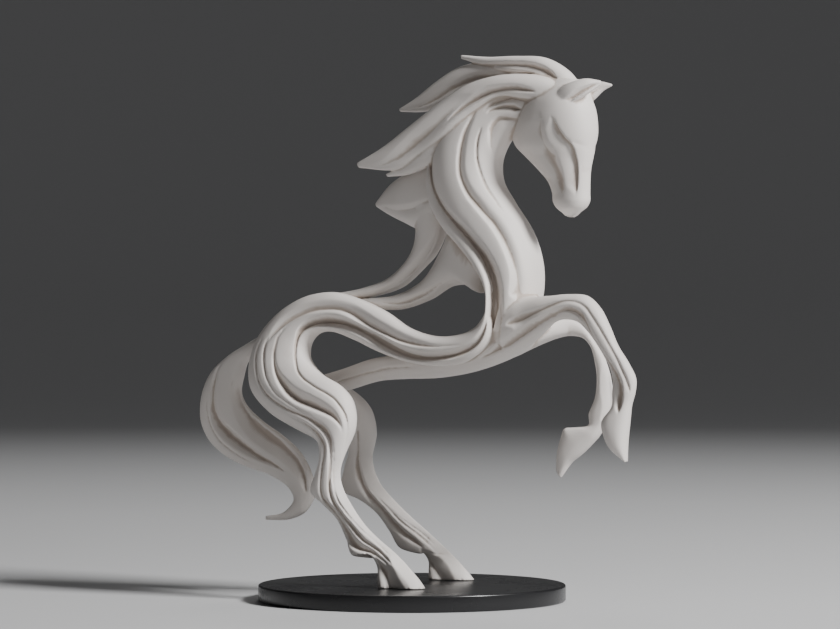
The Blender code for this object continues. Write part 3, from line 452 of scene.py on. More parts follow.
# %% Belly strap
BELLY = [
    (318, 376, 334, 396, 24, 24),
    (345, 368, 354, 389, 18, 26),
    (375, 358, 381, 381, 10, 28),
    (404, 354, 406, 379, 3, 32),
    (436, 350, 438, 378, -2, 36),
    (468, 342, 474, 372, -3, 42),
    (494, 326, 509, 360, -5, 52),
    (515, 308, 534, 346, 2, 46),
    (532, 296, 546, 326, 13, 22),
]
BELLY_LINES = [
    ([(330, 386, 1), (342, 380.5, 1.5), (352, 377.5, 1.5), (363, 374.3, 1.5), (375, 371.5, 1.5),
      (387, 368.8, 1.5), (400, 367.5, 1.2), (415, 367, 0.8)], 1.0, 1.5),
    ([(478, 359, -0.5), (488, 354.5, -2.5), (497, 349, -4), (505.5, 343.5, -5),
      (519.5, 333.5, -5.5), (530, 326, -5)], 1.4, 1.6),
]
add_ribbon("belly strap", BELLY, BELLY_LINES)

# %% [markdown]
# ## The tail
# The tail swings out behind the rump, curls forward under it and ends in a thin hook. Its inner
# face is hollowed by one broad, shallow line, and a narrow strand runs along its outer edge.

# %% Tail
TAIL = [
    (270, 330, 292, 345, 0, 22),
    (247, 343, 262, 352, 0, 20),
    (228, 355, 249, 362, 2, 22),
    (211, 372, 244, 378, 4, 24),
    (202, 393, 242, 393, 6, 26),
    (200, 414, 247, 405, 8, 26),
    (206, 435, 262, 420, 10, 24),
    (223, 454, 284, 436, 12, 22),
    (248, 467, 303, 455, 14, 19),
    (272, 476, 313, 476, 14, 16),
    (288, 487, 316, 494, 14, 14),
    (294, 499, 307, 511, 14, 12),
    (285, 511, 292, 519, 14, 9),
    (266, 516, 266, 520, 14, 4),
]
TAIL_LINES = [
    ([(222, 362, -1), (217, 370, -1.8), (214.5, 379.6, -2.5), (212.5, 390.6, -3),
      (211.8, 401.5, -3.5), (213, 413, -5), (217.5, 424, -7), (225, 433, -8), (234, 441, -8),
      (245, 449, -7), (258, 457, -5), (272, 464, -3), (285, 472, -1)], 1.1, 0.8),
    ([(207, 398, 0.6), (206.5, 408, 1.2), (208.5, 419, 1.3), (212.5, 430, 1.3),
      (219.3, 440.3, 1.3), (230.2, 449.8, 1.3), (242.5, 457.8, 1.2), (255, 464, 0.6)], 1.3, 1.0),
    ([(240, 380, 3), (239, 392, 6), (241, 404, 9), (247, 415, 12), (257, 426, 14), (270, 437, 14),
      (284, 449, 12), (296, 462, 10), (303, 476, 7), (306, 490, 3)], 0.6, 0.6),
    ([(236, 372, 0.6), (232.5, 382, 1), (232, 392, 1), (235, 402, 1), (240, 411, 0.6)], 1.2, 1.0),
]
add_ribbon("tail", TAIL, TAIL_LINES)

# %% [markdown]
# ## The neck
# The neck is an S that starts behind the ears and ends in the chest. It is thicker than any
# other band, and its two thin slots are cut nearly straight down. Its rear edge is a sharp step
# down to the band that flows into the barrel.

# %% Neck
NECK = [
    (548, 78, 566, 110, 0, 30),
    (516, 82, 538, 124, 0, 40),
    (482, 96, 514, 138, 0, 48),
    (452, 117, 506, 152, 0, 56),
    (435, 142, 503, 165, 0, 62),
    (431, 172, 505, 182, 0, 66),
    (437, 203, 517, 203, 0, 69),
    (456, 234, 533, 228, 0, 74),
    (476, 260, 542, 251, 0, 79),
    (488, 290, 545, 275, 0, 84),
    (489, 318, 541, 302, 0, 84),
    (482, 347, 522, 334, 0, 64),
]
NECK_LINES = [
    ([(482, 97, -2), (470, 105, -2), (458, 113, -2), (447, 123, -2), (439, 133, -2),
      (434, 144, -2), (431, 156, -2), (430.5, 166, -2.5), (431, 178, -2.5), (433, 189, -3),
      (436.5, 199, -4.5), (442, 209, -5.5), (451, 220.5, -7), (461, 231.5, -8.5),
      (469.5, 242, -9.5), (477.5, 252, -9.7), (484.5, 262.5, -9.8), (489, 272, -9.8),
      (491.7, 281, -9.8), (493.2, 291, -10), (494, 301, -9.5), (494, 312, -9), (493.3, 322, -8),
      (491.5, 331, -5)], 1.0, 1.1),
    ([(475, 112, 0.8), (469, 122, 1.8), (464.2, 132, 2.3), (461.3, 142, 2.6), (459.4, 153.5, 2.8),
      (458.8, 164.7, 2.8), (460, 176, 3), (463.5, 186, 3.2), (469, 196, 3.6), (475.5, 204, 3.8),
      (483, 213, 3.9), (490.5, 221.5, 4.1), (497.5, 231.5, 4.2), (503.5, 242, 4.3),
      (508, 252, 4.4), (511.8, 262, 4.5), (514.5, 272, 4.9), (515.6, 282, 6),
      (515.6, 292, 7)], 1.2, 2.6),
    ([(481, 128, 0.8), (477.5, 139.5, 1.5), (476.4, 149.7, 1.6), (477, 160, 1.6),
      (479.3, 169.4, 1.6), (483.1, 179.6, 1.6), (487.7, 189, 1.6), (493.3, 197.4, 1.5),
      (499, 205.7, 1.2), (504, 213, 0.5)], 2.2, 1.0),
    ([(519, 109, -2), (516, 108.5, -3.5), (507.4, 107, -4), (498, 107.7, -3.5), (490, 110.5, -2),
      (486, 114, -0.5)], 1.3, 1.2),
    ([(530, 97, 2), (520, 97, 3), (511, 97.5, 3), (501, 100.5, 3), (491, 105, 2.2),
      (484, 110, 0.8)], 1.2, 2.0),
    ([(514, 118.5, 1.5), (506, 118, 2.8), (499, 119, 3), (494, 122.5, 3), (491, 128, 3),
      (490, 136, 2.6), (490.5, 146, 1.8), (493, 157, 0.6)], 1.1, 4.0),
]
add_ribbon("neck", NECK, NECK_LINES)

# %% [markdown]
# ## Withers and back
# Two straps join the neck to the barrel over the upper hole. A narrow slit stays open between
# them, which is why they are two ribbons and not one.

# %% Withers and back
WITHERS = [
    (432, 158, 452, 170, 8, 30),
    (412, 204, 447, 198, 8, 36),
    (415.5, 233, 448, 228, 8, 34),
    (411.5, 251, 438, 253, 7, 30),
    (401, 267, 423, 270, 6, 26),
    (385, 280, 405, 286, 4, 22),
    (363, 288, 378, 296, 1, 20),
    (342, 292, 350, 303, -2, 20),
    (316, 297, 328, 312, -4, 20),
]
WITHERS_LINES = [
    ([(437, 233, 1), (434, 242, 4), (429, 251, 6), (423, 260, 7), (415, 269, 7), (406, 277, 6),
      (396, 284, 5), (383, 290, 3), (370, 293, 1)], 0.6, 0.6),
]
BACK = [
    (456, 200, 492, 262, 0, 50),
    (446, 240, 487, 283, 0, 44),
    (441, 251, 482, 294, 0, 42),
    (436, 260, 472, 287, 0, 39),
    (430, 270, 459, 286, 0, 35),
    (415, 285.5, 432, 300, 0, 28),
    (394, 295, 405, 309.5, -2, 24),
    (368, 298, 378, 311, -4, 22),
    (338, 300, 348, 318, -6, 22),
]
BACK_LINES = [
    ([(442, 283, 2), (430, 291.5, 4), (420, 297, 5), (410, 301, 5), (400, 303.5, 4.5),
      (390, 304, 3), (378, 302, 1)], 0.6, 0.4),
]
add_ribbon("withers", WITHERS, WITHERS_LINES)
add_ribbon("back", BACK, BACK_LINES)

# %% [markdown]
# ## The mane's short tip
# Lower down on the neck the mane ends in a short, broad tip behind it. It is one ribbon that
# thins to a point, with a single soft fold.

# %% Mane tip
MANE_TIP = [
    (440, 158, 438, 228, 6, 34),
    (418, 168, 421, 230, 7, 35),
    (403, 176, 404, 222, 8, 28),
    (390, 186, 390, 215, 10, 17),
    (376, 203, 377, 207, 12, 5),
]
MANE_TIP_LINES = [
    ([(427, 201, 3), (412, 208.5, 6), (398, 210.5, 6), (384, 207.5, 3)], 0.35, 1.6),
]
add_ribbon("mane tip", MANE_TIP, MANE_TIP_LINES)

# %% [markdown]
# ## The upper locks
# The rest of the mane is four pointed locks that sweep back from the poll. They lie over each
# other like roof tiles, so each has its own distance aside. The two upper ones make the crest.

# %% Upper locks
LOCK_A = [
    (582, 86, 562, 104, 0, 26),
    (570, 71, 553, 92, 0, 28),
    (548, 58, 538, 80, 1, 28),
    (518, 56, 514, 76, 2, 24),
    (490, 57, 490, 68, 4, 16),
    (461, 55, 462, 59, 6, 5),
]
LOCK_A_LINES = [
    ([(557, 79, 1), (550, 74, 4), (540, 69, 5), (528, 66, 5), (514, 65, 4.5), (500, 65, 4),
      (486, 65, 3), (472, 63, 1)], 0.8, 1.4),
    ([(535, 73.5, 1), (520, 72.5, 2.5), (508, 72, 3), (496, 72, 2.5), (484, 71, 1)], 0.8, 1.0),
]
LOCK_B = [
    (527, 60, 515, 86, 8, 26),
    (492, 61, 486, 88, 10, 24),
    (460, 67, 460, 95, 12, 20),
    (436, 82, 443, 106, 13, 16),
    (416, 98, 424, 112, 14, 11),
    (399, 109, 401, 112, 15, 4),
]
LOCK_B_LINES = [
    ([(505, 76, 1), (492, 76.5, 5), (478, 78, 7), (464, 83, 7), (450, 90, 6), (436, 99, 5),
      (422, 106, 3), (410, 109, 1)], 0.5, 0.6),
]
add_ribbon("lock over the poll", LOCK_A, LOCK_A_LINES)
add_ribbon("upper lock", LOCK_B, LOCK_B_LINES)

# %% [markdown]
# ## The lower locks
# The long lock is the largest one and carries the deepest lines. The short one peeps out below it
# and is too thin for lines of its own.

# %% Lower locks
LOCK_C = [
    (576, 88, 552, 112, -9, 26),
    (545, 76, 530, 102, -13, 28),
    (508, 74, 500, 98, -16, 28),
    (474, 82, 476, 114, -17, 26),
    (441, 102, 448, 140, -18, 22),
    (411, 125, 422, 156, -17, 17),
    (383, 147, 396, 170, -16, 12),
    (357, 163, 359, 168, -15, 4),
]
LOCK_C_LINES = [
    ([(535, 91.5, 1), (524, 89.5, 4), (512, 88.5, 5), (501, 89.5, 5.5), (490, 92, 6),
      (478, 97.5, 6), (466, 104.5, 5.5), (455, 113, 4), (447, 121, 2), (441, 129, 0.5)], 1.1, 1.0),
    ([(480, 96, 4), (462, 103, 9), (445, 116, 11), (428, 132, 12), (412, 146, 11), (396, 158, 8),
      (380, 165.5, 4), (368, 166.5, 1)], 0.3, 0.9),
]
LOCK_D = [
    (452, 116, 472, 135, -12, 24),
    (434, 136, 450, 153, -14, 22),
    (417, 153, 429, 167, -14, 16),
    (402, 166, 408, 175, -13, 10),
    (386, 174, 388, 177, -12, 4),
]
add_ribbon("long lock", LOCK_C, LOCK_C_LINES)
add_ribbon("short lock", LOCK_D)

# %% [markdown]
# ## The near foreleg
# Both forelegs are raised and bent, and end in pointed hooves that hang free. The near one has a
# deep valley along its inner side with a thin rim above it.

# %% Near foreleg
NEAR_FORE = [
    (508, 288, 494, 344, -14, 50),
    (519, 287, 507, 354, -12, 58),
    (532, 296, 527, 345.5, -18, 53),
    (550, 296, 545, 329.5, -27, 37),
    (570, 294, 562, 320, -31, 27),
    (587, 295.5, 577, 322, -32, 24),
    (600, 307.5, 588, 332.5, -33, 22),
    (609, 324.5, 597.5, 346, -33, 19),
    (618, 345, 604.5, 358.5, -33, 17),
    (629, 362.5, 609.5, 370, -33, 16),
    (636.5, 379, 611.8, 382, -33, 17),
    (636, 391, 611.5, 393, -33, 18),
    (632.5, 405, 611, 407, -33, 20),
    (631, 420, 601, 422, -33, 26),
    (629.5, 434, 603, 436, -33, 27),
    (628.5, 447, 609, 448.5, -33, 23),
    (628, 462, 624, 462, -33, 9),
]
NEAR_FORE_LINES = [
    ([(506, 324.5, -1), (511, 322, -4), (517, 319.5, -5), (529, 314, -4.5), (541, 309, -3.5),
      (551, 305, -2.8), (560, 302, -2), (568, 301, -1.4), (575, 301.7, -1.4), (581, 304, -1.5),
      (586, 308, -1.6), (591.1, 315, -1.6), (596.3, 323.2, -1.6), (601.4, 331.5, -1.6),
      (606.6, 340.8, -1.6), (611.8, 350.1, -1.6), (616.9, 359.4, -1.6), (622.1, 370.8, -1.7),
      (626.2, 380.1, -1.8), (628.8, 388.3, -1.6), (629.5, 394, -0.5)], 1.2, 2.0),
    ([(490, 354, -2), (497, 349, -4), (505.5, 343.5, -5), (519.5, 333.5, -5.5),
      (533.5, 323.5, -5.5), (545.5, 317, -5), (557, 311.5, -4.5), (566.3, 310, -4.5),
      (574, 311.5, -4.5), (579.5, 315.5, -4.5), (583.5, 322, -4.5), (588, 331, -4.5),
      (593, 341, -4.2), (598, 349.5, -4), (603.5, 357, -4), (609.8, 366.8, -4.2),
      (615, 375.8, -4.5), (618, 383.5, -4.5), (619, 390, -4.5), (619, 398, -4.5),
      (618.5, 406, -3.5), (618, 413, -1)], 1.4, 1.6),
]
NEAR_FORE_FACETS = [
    ([(491, 355), (505.5, 345), (519.5, 335), (533.5, 325), (545.5, 318.5), (557, 313), (566, 312),
      (574, 313), (579.5, 317), (584, 323), (589, 332), (594, 341), (599, 350), (604, 358),
      (610, 367), (615, 376), (618, 384), (619, 391), (619, 398), (618.5, 406), (618, 413)], 0.75),
]
add_ribbon("near foreleg", NEAR_FORE, NEAR_FORE_LINES, NEAR_FORE_FACETS, far_side=0)

# %% [markdown]
# ## The far foreleg
# The far one shows two faces, a narrow one towards the hind legs and a flat bright one towards
# the front. Its ribbon lies further aside and starts inside the belly strap.

# %% Far foreleg
FAR_FORE = [
    (490, 322, 492, 364, 2, 36),
    (512, 320, 519, 355, 6, 36),
    (534, 320, 541, 345, 13, 32),
    (553, 317, 556, 339, 19, 27),
    (570, 317, 569, 336, 25, 23),
    (585, 325, 583, 338, 27, 20),
    (598, 341, 590.5, 347, 28, 18),
    (606, 358, 595, 364, 28.5, 15),
    (612, 378, 596.5, 382, 29, 14),
    (614, 398, 594, 400, 29, 15),
    (612, 412, 588.5, 414, 29, 17),
    (606, 426, 588, 425, 29, 18),
    (599, 438, 577, 426.5, 29, 23),
    (593.5, 444, 570.5, 427, 29, 24),
    (587.5, 450, 565, 427.8, 29, 25),
    (580.5, 456.5, 560.8, 438.5, 29, 24),
    (573.5, 462, 558, 449, 29, 22),
    (561, 478, 556.5, 469, 29, 9),
]
FAR_FORE_LINES = [
    ([(606, 352, 5), (612, 362, 11), (614, 376, 14), (614, 388, 14), (615, 398, 14),
      (612, 408, 11), (606, 418, 6)], 0.5, 0.3),
]
add_ribbon("far foreleg", FAR_FORE, FAR_FORE_LINES)

# %% [markdown]
# ## The head
# The head is no band. It is drawn by level rings instead, each with its row, its rear and front
# column and half its width, and it turns further towards the near side than the body does. Its
# lines, from the eye down the cheek, are pressed into both cheeks alike, so the far side is
# finished too.

# %% Head
HEAD_TURN = math.radians(36)
HEAD_COLUMN = 555
HEAD_ROUNDNESS = 2.3
HEAD_PIVOT_ROW = 150.0
HEAD_FINENESS = 1.5
JAW_NARROWING = 0.12
CHEEK_RIM = 0.05
LEAST_HALF = 2
LEAST_REACH = 4
HEAD = [
    (84, 548, 580, 13),
    (92, 535, 587, 21),
    (102, 524, 591, 27),
    (114, 515, 595, 30),
    (126, 511.7, 596.7, 31),
    (138, 512, 596.8, 30),
    (148, 515.5, 595, 28),
    (159, 525.5, 592.6, 23),
    (172, 537.5, 590, 19),
    (184, 547, 589.2, 16),
    (196, 551.5, 589, 15),
    (204, 552.2, 588.8, 15),
    (210, 555.5, 585.5, 13),
    (215, 561, 580, 9),
    (217.8, 565, 576, 5.5),
    (219, 569, 572.5, 2),
]
HEAD_LINES = [
    ([(553, 119, -0.8), (555, 125, -2), (558.5, 132, -2.8), (562.8, 138, -3), (567.8, 143.2, -3),
      (571, 148.5, -3), (573, 155, -3), (574.7, 162, -3), (575.4, 170, -3), (575.7, 179, -2.6),
      (576, 187, -1.8), (576, 193, -0.5)], 1.6, 5.5),
    ([(540, 121, -3), (539, 130, -5.5), (540.5, 139, -6.5), (544.5, 148, -7), (549.5, 156, -7),
      (553.5, 164, -6.5), (557.5, 173, -6), (560, 181, -5), (562, 189, -3)], 0.5, 3.5),
    ([(570, 141, -1), (578, 144, -3.5), (587, 146.5, -3.5), (596, 147, -2)], 0.35, 1.5),
    ([(556, 214, -6), (565, 218, -9), (575, 217.5, -10), (586, 213, -7)], 0.5, 0.5),
]


def head_points(along, out, row):
    """Points that far along the head's own length, out to its far cheek and down the picture."""
    turn = HEAD_TURN - VIEW_TURN
    pivot = from_picture(np.array(float(HEAD_COLUMN)), np.array(HEAD_PIVOT_ROW), 0.0)
    x = along * math.cos(turn) + out * math.sin(turn) + pivot[0]
    y = out * math.cos(turn) - along * math.sin(turn)
    return np.stack([x, y, SOLE_ROW - row], -1)


def head():
    """The head: rounded rings from the poll down to the muzzle, with its lines on both cheeks."""
    rows = np.array([(h[0], h[0], h[1], h[2], h[3]) for h in HEAD], float)
    count = int((HEAD[-1][0] - HEAD[0][0]) / RING_SPACING * HEAD_FINENESS)
    row, _, rear, front, half = curve_through(rows, count, rows[:, :2]).T
    rear, front = rear - HEAD_COLUMN, front - HEAD_COLUMN
    turn_sin, turn_cos = math.sin(HEAD_TURN), math.cos(HEAD_TURN)
    dual = HEAD_ROUNDNESS / (HEAD_ROUNDNESS - 1)
    reach = ((front - rear) / 2) ** dual - (np.maximum(half, LEAST_HALF) * turn_sin) ** dual
    reach = np.maximum(reach, LEAST_REACH) ** (1 / dual) / turn_cos
    side, bulge = (np.sign(part) * np.abs(part) ** (2 / HEAD_ROUNDNESS)
                   for part in (np.cos(RING_ANGLES), np.sin(RING_ANGLES)))
    along = ((front + rear) / 2 / turn_cos)[:, None] + reach[:, None] * side[None]
    jaw = np.where(side < 0, 1 - JAW_NARROWING * side**2, 1)
    out = half[:, None] * (bulge * jaw)[None]
    down = np.repeat(row[:, None], RING_POINTS, 1)

    cheek = np.sign(bulge)[None]
    seen = in_picture(head_points(along, -np.abs(out), down))
    out = out - cheek * carved(seen, HEAD_LINES) * (np.abs(bulge)[None] > CHEEK_RIM)
    return loft(head_points(along, out, down) * STEP)


bodies.append(head())
print(f"head: {len(bodies[-1].verts)} points, turned {math.degrees(HEAD_TURN):.0f} degrees")

# %% [markdown]
# ## The ears
# Each ear is a short ribbon that stands on the poll and points forward. The near one has a
# hollow along its lower side.

# %% Ears
NEAR_EAR = [
    (548, 96, 553, 111, -12, 14),
    (558, 89.5, 562, 108, -18.5, 17),
    (569, 83, 573, 103.5, -21.5, 17),
    (585, 78.5, 586, 95.5, -20, 13),
    (601, 80.5, 601, 84.5, -15, 4),
]
NEAR_EAR_LINES = [
    ([(554, 109, -1), (560.4, 104.8, -2.5), (568.7, 99.8, -4), (577, 94.5, -5), (585, 89.8, -4.5),
      (593, 86, -3), (599, 83.5, -1)], 1.1, 0.6),
]
FAR_EAR = [
    (574, 86, 583, 107, 10, 15),
    (590, 82, 594, 100, 11, 12),
    (602, 81.5, 604, 90.5, 12, 8),
    (612, 84, 612, 86, 13, 4),
]
FAR_EAR_LINES = [
    ([(586, 98, 1), (597, 90, 2), (607, 86, 1)], 0.8, 1.0),
]
add_ribbon("near ear", NEAR_EAR, NEAR_EAR_LINES)
add_ribbon("far ear", FAR_EAR, FAR_EAR_LINES)

# %% [markdown]
# ## One skin
# The bands overlap where they grow out of each other. Booleans of twenty curved bodies are slow
# and leave slivers. A voxel remesh reads them as one volume and lays an even skin round it, which
# also rounds the joints a little, as on a print. Its cells are a third of a millimetre wide,
# finer than the print's own layers, and a few rounds of smoothing take out their steps.

# %% Fusing
SKIN_CELL = 0.8
SKIN_TRIANGLES = 196000
SKIN_SMOOTHING = 3


def add_to_scene(name, data):
    """An object with that data, linked to the scene."""
    made = bpy.data.objects.new(name, data)
    bpy.context.scene.collection.objects.link(made)
    return made


def add_body(name, body):
    """An object with the body as its mesh."""
    mesh = bpy.data.meshes.new(name)
    body.to_mesh(mesh)
    body.free()
    return add_to_scene(name, mesh)


def as_modified(made):
    """The mesh that an object's modifiers make of it."""
    graph = bpy.context.evaluated_depsgraph_get()
    return bpy.data.meshes.new_from_object(made.evaluated_get(graph))


together = bmesh.new()
for body in bodies:
    piece = bpy.data.meshes.new("piece")
    body.to_mesh(piece)
    body.free()
    together.from_mesh(piece)
    bpy.data.meshes.remove(piece)
rough = add_body("rough", together)
fuse = rough.modifiers.new("fuse", "REMESH")
fuse.mode = "VOXEL"
fuse.voxel_size = SKIN_CELL * STEP
even = rough.modifiers.new("even", "SMOOTH")
even.factor = 0.5
even.iterations = SKIN_SMOOTHING
rough.data = as_modified(rough)
rough.modifiers.clear()
print("the fused skin has", len(rough.data.polygons), "faces")

# %% [markdown]
# ## A lighter mesh
# Flat stretches need fewer faces than creases do. A collapse thins the mesh where little is lost
# and leaves its corners along the creases.

# %% Thinning
thin = rough.modifiers.new("thin", "DECIMATE")
thin.ratio = SKIN_TRIANGLES / (2 * len(rough.data.polygons))
skin = as_modified(rough)
bpy.data.objects.remove(rough)
print("thinned to", len(skin.polygons), "triangles")

# %% [markdown]
# ## Flat soles
# The hooves stand on the disc, so they end in one plane. Fusing can also leave closed pockets
# inside the body that nobody sees. Only the outer skin is kept, and then the plane is cut and
# filled.

# %% Soles
LEVEL = 0.999


def keep_largest(body):
    """Drops the closed pockets that fusing leaves inside the body."""
    left = set(body.verts)
    islands = []
    while left:
        seed = left.pop()
        island, edge = {seed}, [seed]
        while edge:
            near = {e.other_vert(v) for v in edge for e in v.link_edges} - island
            island |= near
            edge = list(near)
        left -= island
        islands.append(island)
    islands.sort(key=len, reverse=True)
    spare = [v for island in islands[1:] for v in island]
    bmesh.ops.delete(body, geom=spare, context="VERTS")
    return len(islands) - 1


def cut_soles(body):
    """Cuts the hooves off flat, so that both soles lie in one plane."""
    everything = body.verts[:] + body.edges[:] + body.faces[:]
    bmesh.ops.bisect_plane(body, geom=everything, plane_co=(0, 0, 0), plane_no=(0, 0, 1),
                           clear_inner=True)
    bmesh.ops.holes_fill(body, edges=[e for e in body.edges if e.is_boundary], sides=0)
    bmesh.ops.triangulate(body, faces=[f for f in body.faces if len(f.verts) > 3])
    bmesh.ops.recalc_face_normals(body, faces=body.faces)


body = bmesh.new()
body.from_mesh(skin)
pockets = keep_largest(body)
cut_soles(body)
bmesh.ops.translate(body, verts=body.verts, vec=(0, 0, SOLE_HEIGHT))
for face in body.faces:
    face.smooth = face.normal.z > -LEVEL
open_edges = sum(not e.is_manifold for e in body.edges)
print(f"dropped {pockets} pockets, {open_edges} open edges left,",
      f"soles at {1000 * SOLE_HEIGHT:.1f} mm")

# %% [markdown]
# ## How hollow each place is
# White print looks warmer and darker deep in a line, where light reaches it only by way of other
# walls. That shade is painted into the colour, so the shader needs to know where a line is deep.
# A renderer can measure it, but then it is lost on export. So it is measured once on the mesh, as
# how far a vertex lies below a copy that many small rounds have smoothed, and it is stored as an
# attribute.

# %% Hollows
HOLLOW_SPREAD = 14
HOLLOW_SOFTENING = 2
HOLLOW_FULL = 0.00016


def hollowness(body):
    """For each vertex 1 deep in a carved line, 0 on open surface."""
    body.verts.ensure_lookup_table()
    body.verts.index_update()
    places = np.array([v.co for v in body.verts])
    normals = np.array([v.normal for v in body.verts])
    ends = np.array([[v.index for v in e.verts] for e in body.edges])
    degree = np.bincount(ends.ravel(), minlength=len(places))

    def neighbours_mean(values):
        total = np.zeros_like(values)
        np.add.at(total, ends[:, 0], values[ends[:, 1]])
        np.add.at(total, ends[:, 1], values[ends[:, 0]])
        return total / (degree if values.ndim == 1 else degree[:, None])

    smoothed = places
    for _ in range(HOLLOW_SPREAD):
        smoothed = 0.5 * smoothed + 0.5 * neighbours_mean(smoothed)
    below = ((smoothed - places) * normals).sum(1)
    for _ in range(HOLLOW_SOFTENING):
        below = 0.5 * below + 0.5 * neighbours_mean(below)
    return np.clip(below / HOLLOW_FULL, -1, 1)


hollow = hollowness(body)
horse = add_body("horse_print", body)
attribute = horse.data.attributes.new("hollow", "FLOAT", "POINT")
attribute.data.foreach_set("value", hollow.astype(np.float32))
print(f"{(hollow > 0.5).mean():.0%} of the points lie deep in a line")

# %% [markdown]
# ## The disc
# The disc is turned: a short profile swept once round an axis. Geometry Nodes can do that as a
# lathe would. The profile is a line of four points whose two outer corners are filleted, and
# every point of it is set round the axis by a grid. The sizes are inputs of the tree, so
# another disc needs no new mesh. The diameter and thickness come from the solid disc.

# %% The lathe's profile
DISC_DIAMETER = base_high.x - base_low.x
DISC_THICKNESS = base_high.z - base_low.z
DISC_EDGE = 0.0008
DISC_EDGE_STEPS = 4
DISC_SIDES = 192
PROFILE_POINTS = 4
PROFILE_MIDDLE = (PROFILE_POINTS - 1) / 2
SAME_PLACE = 0.00001


def feed(tree, node, given):
    """Links the named inputs of a node, or sets them where the value is no socket."""
    for name, value in dict(given).items():
        if isinstance(value, bpy.types.NodeSocket):
            tree.links.new(value, node.inputs[name])
        else:
            node.inputs[name].default_value = value


def add_node(tree, kind, given=(), **settings):
    """What a new node of that kind puts out, with its settings and its inputs fed."""
    made = tree.nodes.new(kind)
    for key, value in settings.items():
        setattr(made, key, value)
    feed(tree, made, given)
    return made.outputs


def calculated(tree, operation, *values):
    """What a maths node makes of the values, each a socket or a number."""
    return add_node(tree, "ShaderNodeMath", enumerate(values), operation=operation)[0]


def turned_disc():
    """The lathe's tree with its inputs and the profile: two poles and two rounded corners."""
    tree = bpy.data.node_groups.new("turned disc", "GeometryNodeTree")
    for name, kind, value in (("Diameter", "Float", DISC_DIAMETER),
                              ("Thickness", "Float", DISC_THICKNESS), ("Edge", "Float", DISC_EDGE),
                              ("Edge steps", "Int", DISC_EDGE_STEPS), ("Sides", "Int", DISC_SIDES),
                              ("Material", "Material", None)):
        socket = tree.interface.new_socket(name, in_out="INPUT", socket_type="NodeSocket" + kind)
        if value is not None:
            socket.default_value = value
    tree.interface.new_socket("Disc", in_out="OUTPUT", socket_type="NodeSocketGeometry")
    given = add_node(tree, "NodeGroupInput")

    line = add_node(tree, "GeometryNodeMeshLine", {"Count": PROFILE_POINTS}, mode="OFFSET")[0]
    index = add_node(tree, "GeometryNodeInputIndex")[0]
    off_middle = calculated(tree, "ABSOLUTE", calculated(tree, "SUBTRACT", index, PROFILE_MIDDLE))
    outer = add_node(tree, "FunctionNodeCompare", {0: off_middle, 1: 1.0}, data_type="FLOAT",
                     operation="LESS_EQUAL")[0]
    half = calculated(tree, "MULTIPLY", given["Diameter"], 0.5)
    upper = calculated(tree, "GREATER_THAN", index, PROFILE_MIDDLE)
    corner = add_node(tree, "ShaderNodeCombineXYZ", {
        "X": calculated(tree, "MULTIPLY", half, outer),
        "Z": calculated(tree, "MULTIPLY", upper, given["Thickness"])})[0]
    placed = add_node(tree, "GeometryNodeSetPosition", {"Geometry": line, "Position": corner})[0]
    curve = add_node(tree, "GeometryNodeMeshToCurve", {"Mesh": placed})[0]
    rounded = add_node(tree, "GeometryNodeFilletCurve", {
        "Curve": curve, "Count": given["Edge steps"], "Radius": given["Edge"]}, mode="POLY")[0]
    return tree, given, rounded


tree, given, profile = turned_disc()
print(f"profile of a disc {1000 * DISC_DIAMETER:.0f} mm across",
      f"and {1000 * DISC_THICKNESS:.1f} mm thick")

# %% [markdown]
# ## Turning the profile
# A grid has one column of points for each side of the disc and one row for each point of the
# profile. Each grid point takes its place from the profile by its row and is turned round the
# axis by its column. The seam and the two poles are then merged.

# %% The lathe
def turn_profile(tree, given, profile):
    """Sweeps the profile once round the upright axis and closes what it makes."""
    size = add_node(tree, "GeometryNodeAttributeDomainSize", {0: profile}, component="CURVE")
    count = size["Point Count"]
    columns = calculated(tree, "ADD", given["Sides"], 1.0)
    grid = add_node(tree, "GeometryNodeMeshGrid", {"Vertices X": columns, "Vertices Y": count})
    index = add_node(tree, "GeometryNodeInputIndex")[0]
    row = calculated(tree, "MODULO", index, count)
    column = calculated(tree, "FLOOR", calculated(tree, "DIVIDE", index, count))
    share = calculated(tree, "DIVIDE", column, given["Sides"])
    angle = calculated(tree, "MULTIPLY", share, 2 * math.pi)

    place = add_node(tree, "GeometryNodeInputPosition")[0]
    read = add_node(tree, "GeometryNodeSampleIndex",
                    {"Geometry": profile, "Value": place, "Index": row},
                    data_type="FLOAT_VECTOR", domain="POINT")[0]
    turned = add_node(tree, "ShaderNodeVectorRotate", {"Vector": read, "Angle": angle},
                      rotation_type="Z_AXIS")[0]
    made = grid["Mesh"]
    for kind, more in (("SetPosition", {"Position": turned}),
                       ("MergeByDistance", {"Distance": SAME_PLACE}),
                       ("RealizeInstances", {}),
                       ("SetMaterial", {"Material": given["Material"]})):
        made = add_node(tree, "GeometryNode" + kind, {"Geometry": made, **more})[0]
    add_node(tree, "NodeGroupOutput", {"Disc": made})
    return tree


lathe = turn_profile(tree, given, profile)
print("the lathe has", len(lathe.nodes), "nodes")

# %% [markdown]
# ## Shader groups
# What another finish can use as well is a group that is built once. Each group takes a place and
# a few numbers and gives numbers that vary over the surface. The first is fine grain, the tooth
# that any cast or printed plastic has, with broad clouds beside it.

# %% Fine grain
def shader_group(name, values, results):
    """An empty shader group for those results, and what it is given: a place and the values."""
    group = bpy.data.node_groups.new(name, "ShaderNodeTree")
    add_socket = group.interface.new_socket
    add_socket("Vector", in_out="INPUT", socket_type="NodeSocketVector")
    for value in values:
        made = add_socket(value, in_out="INPUT", socket_type="NodeSocketFloat")
        made.default_value = values[value]
    for result in results:
        add_socket(result, in_out="OUTPUT", socket_type="NodeSocketFloat")
    return group, add_node(group, "NodeGroupInput")


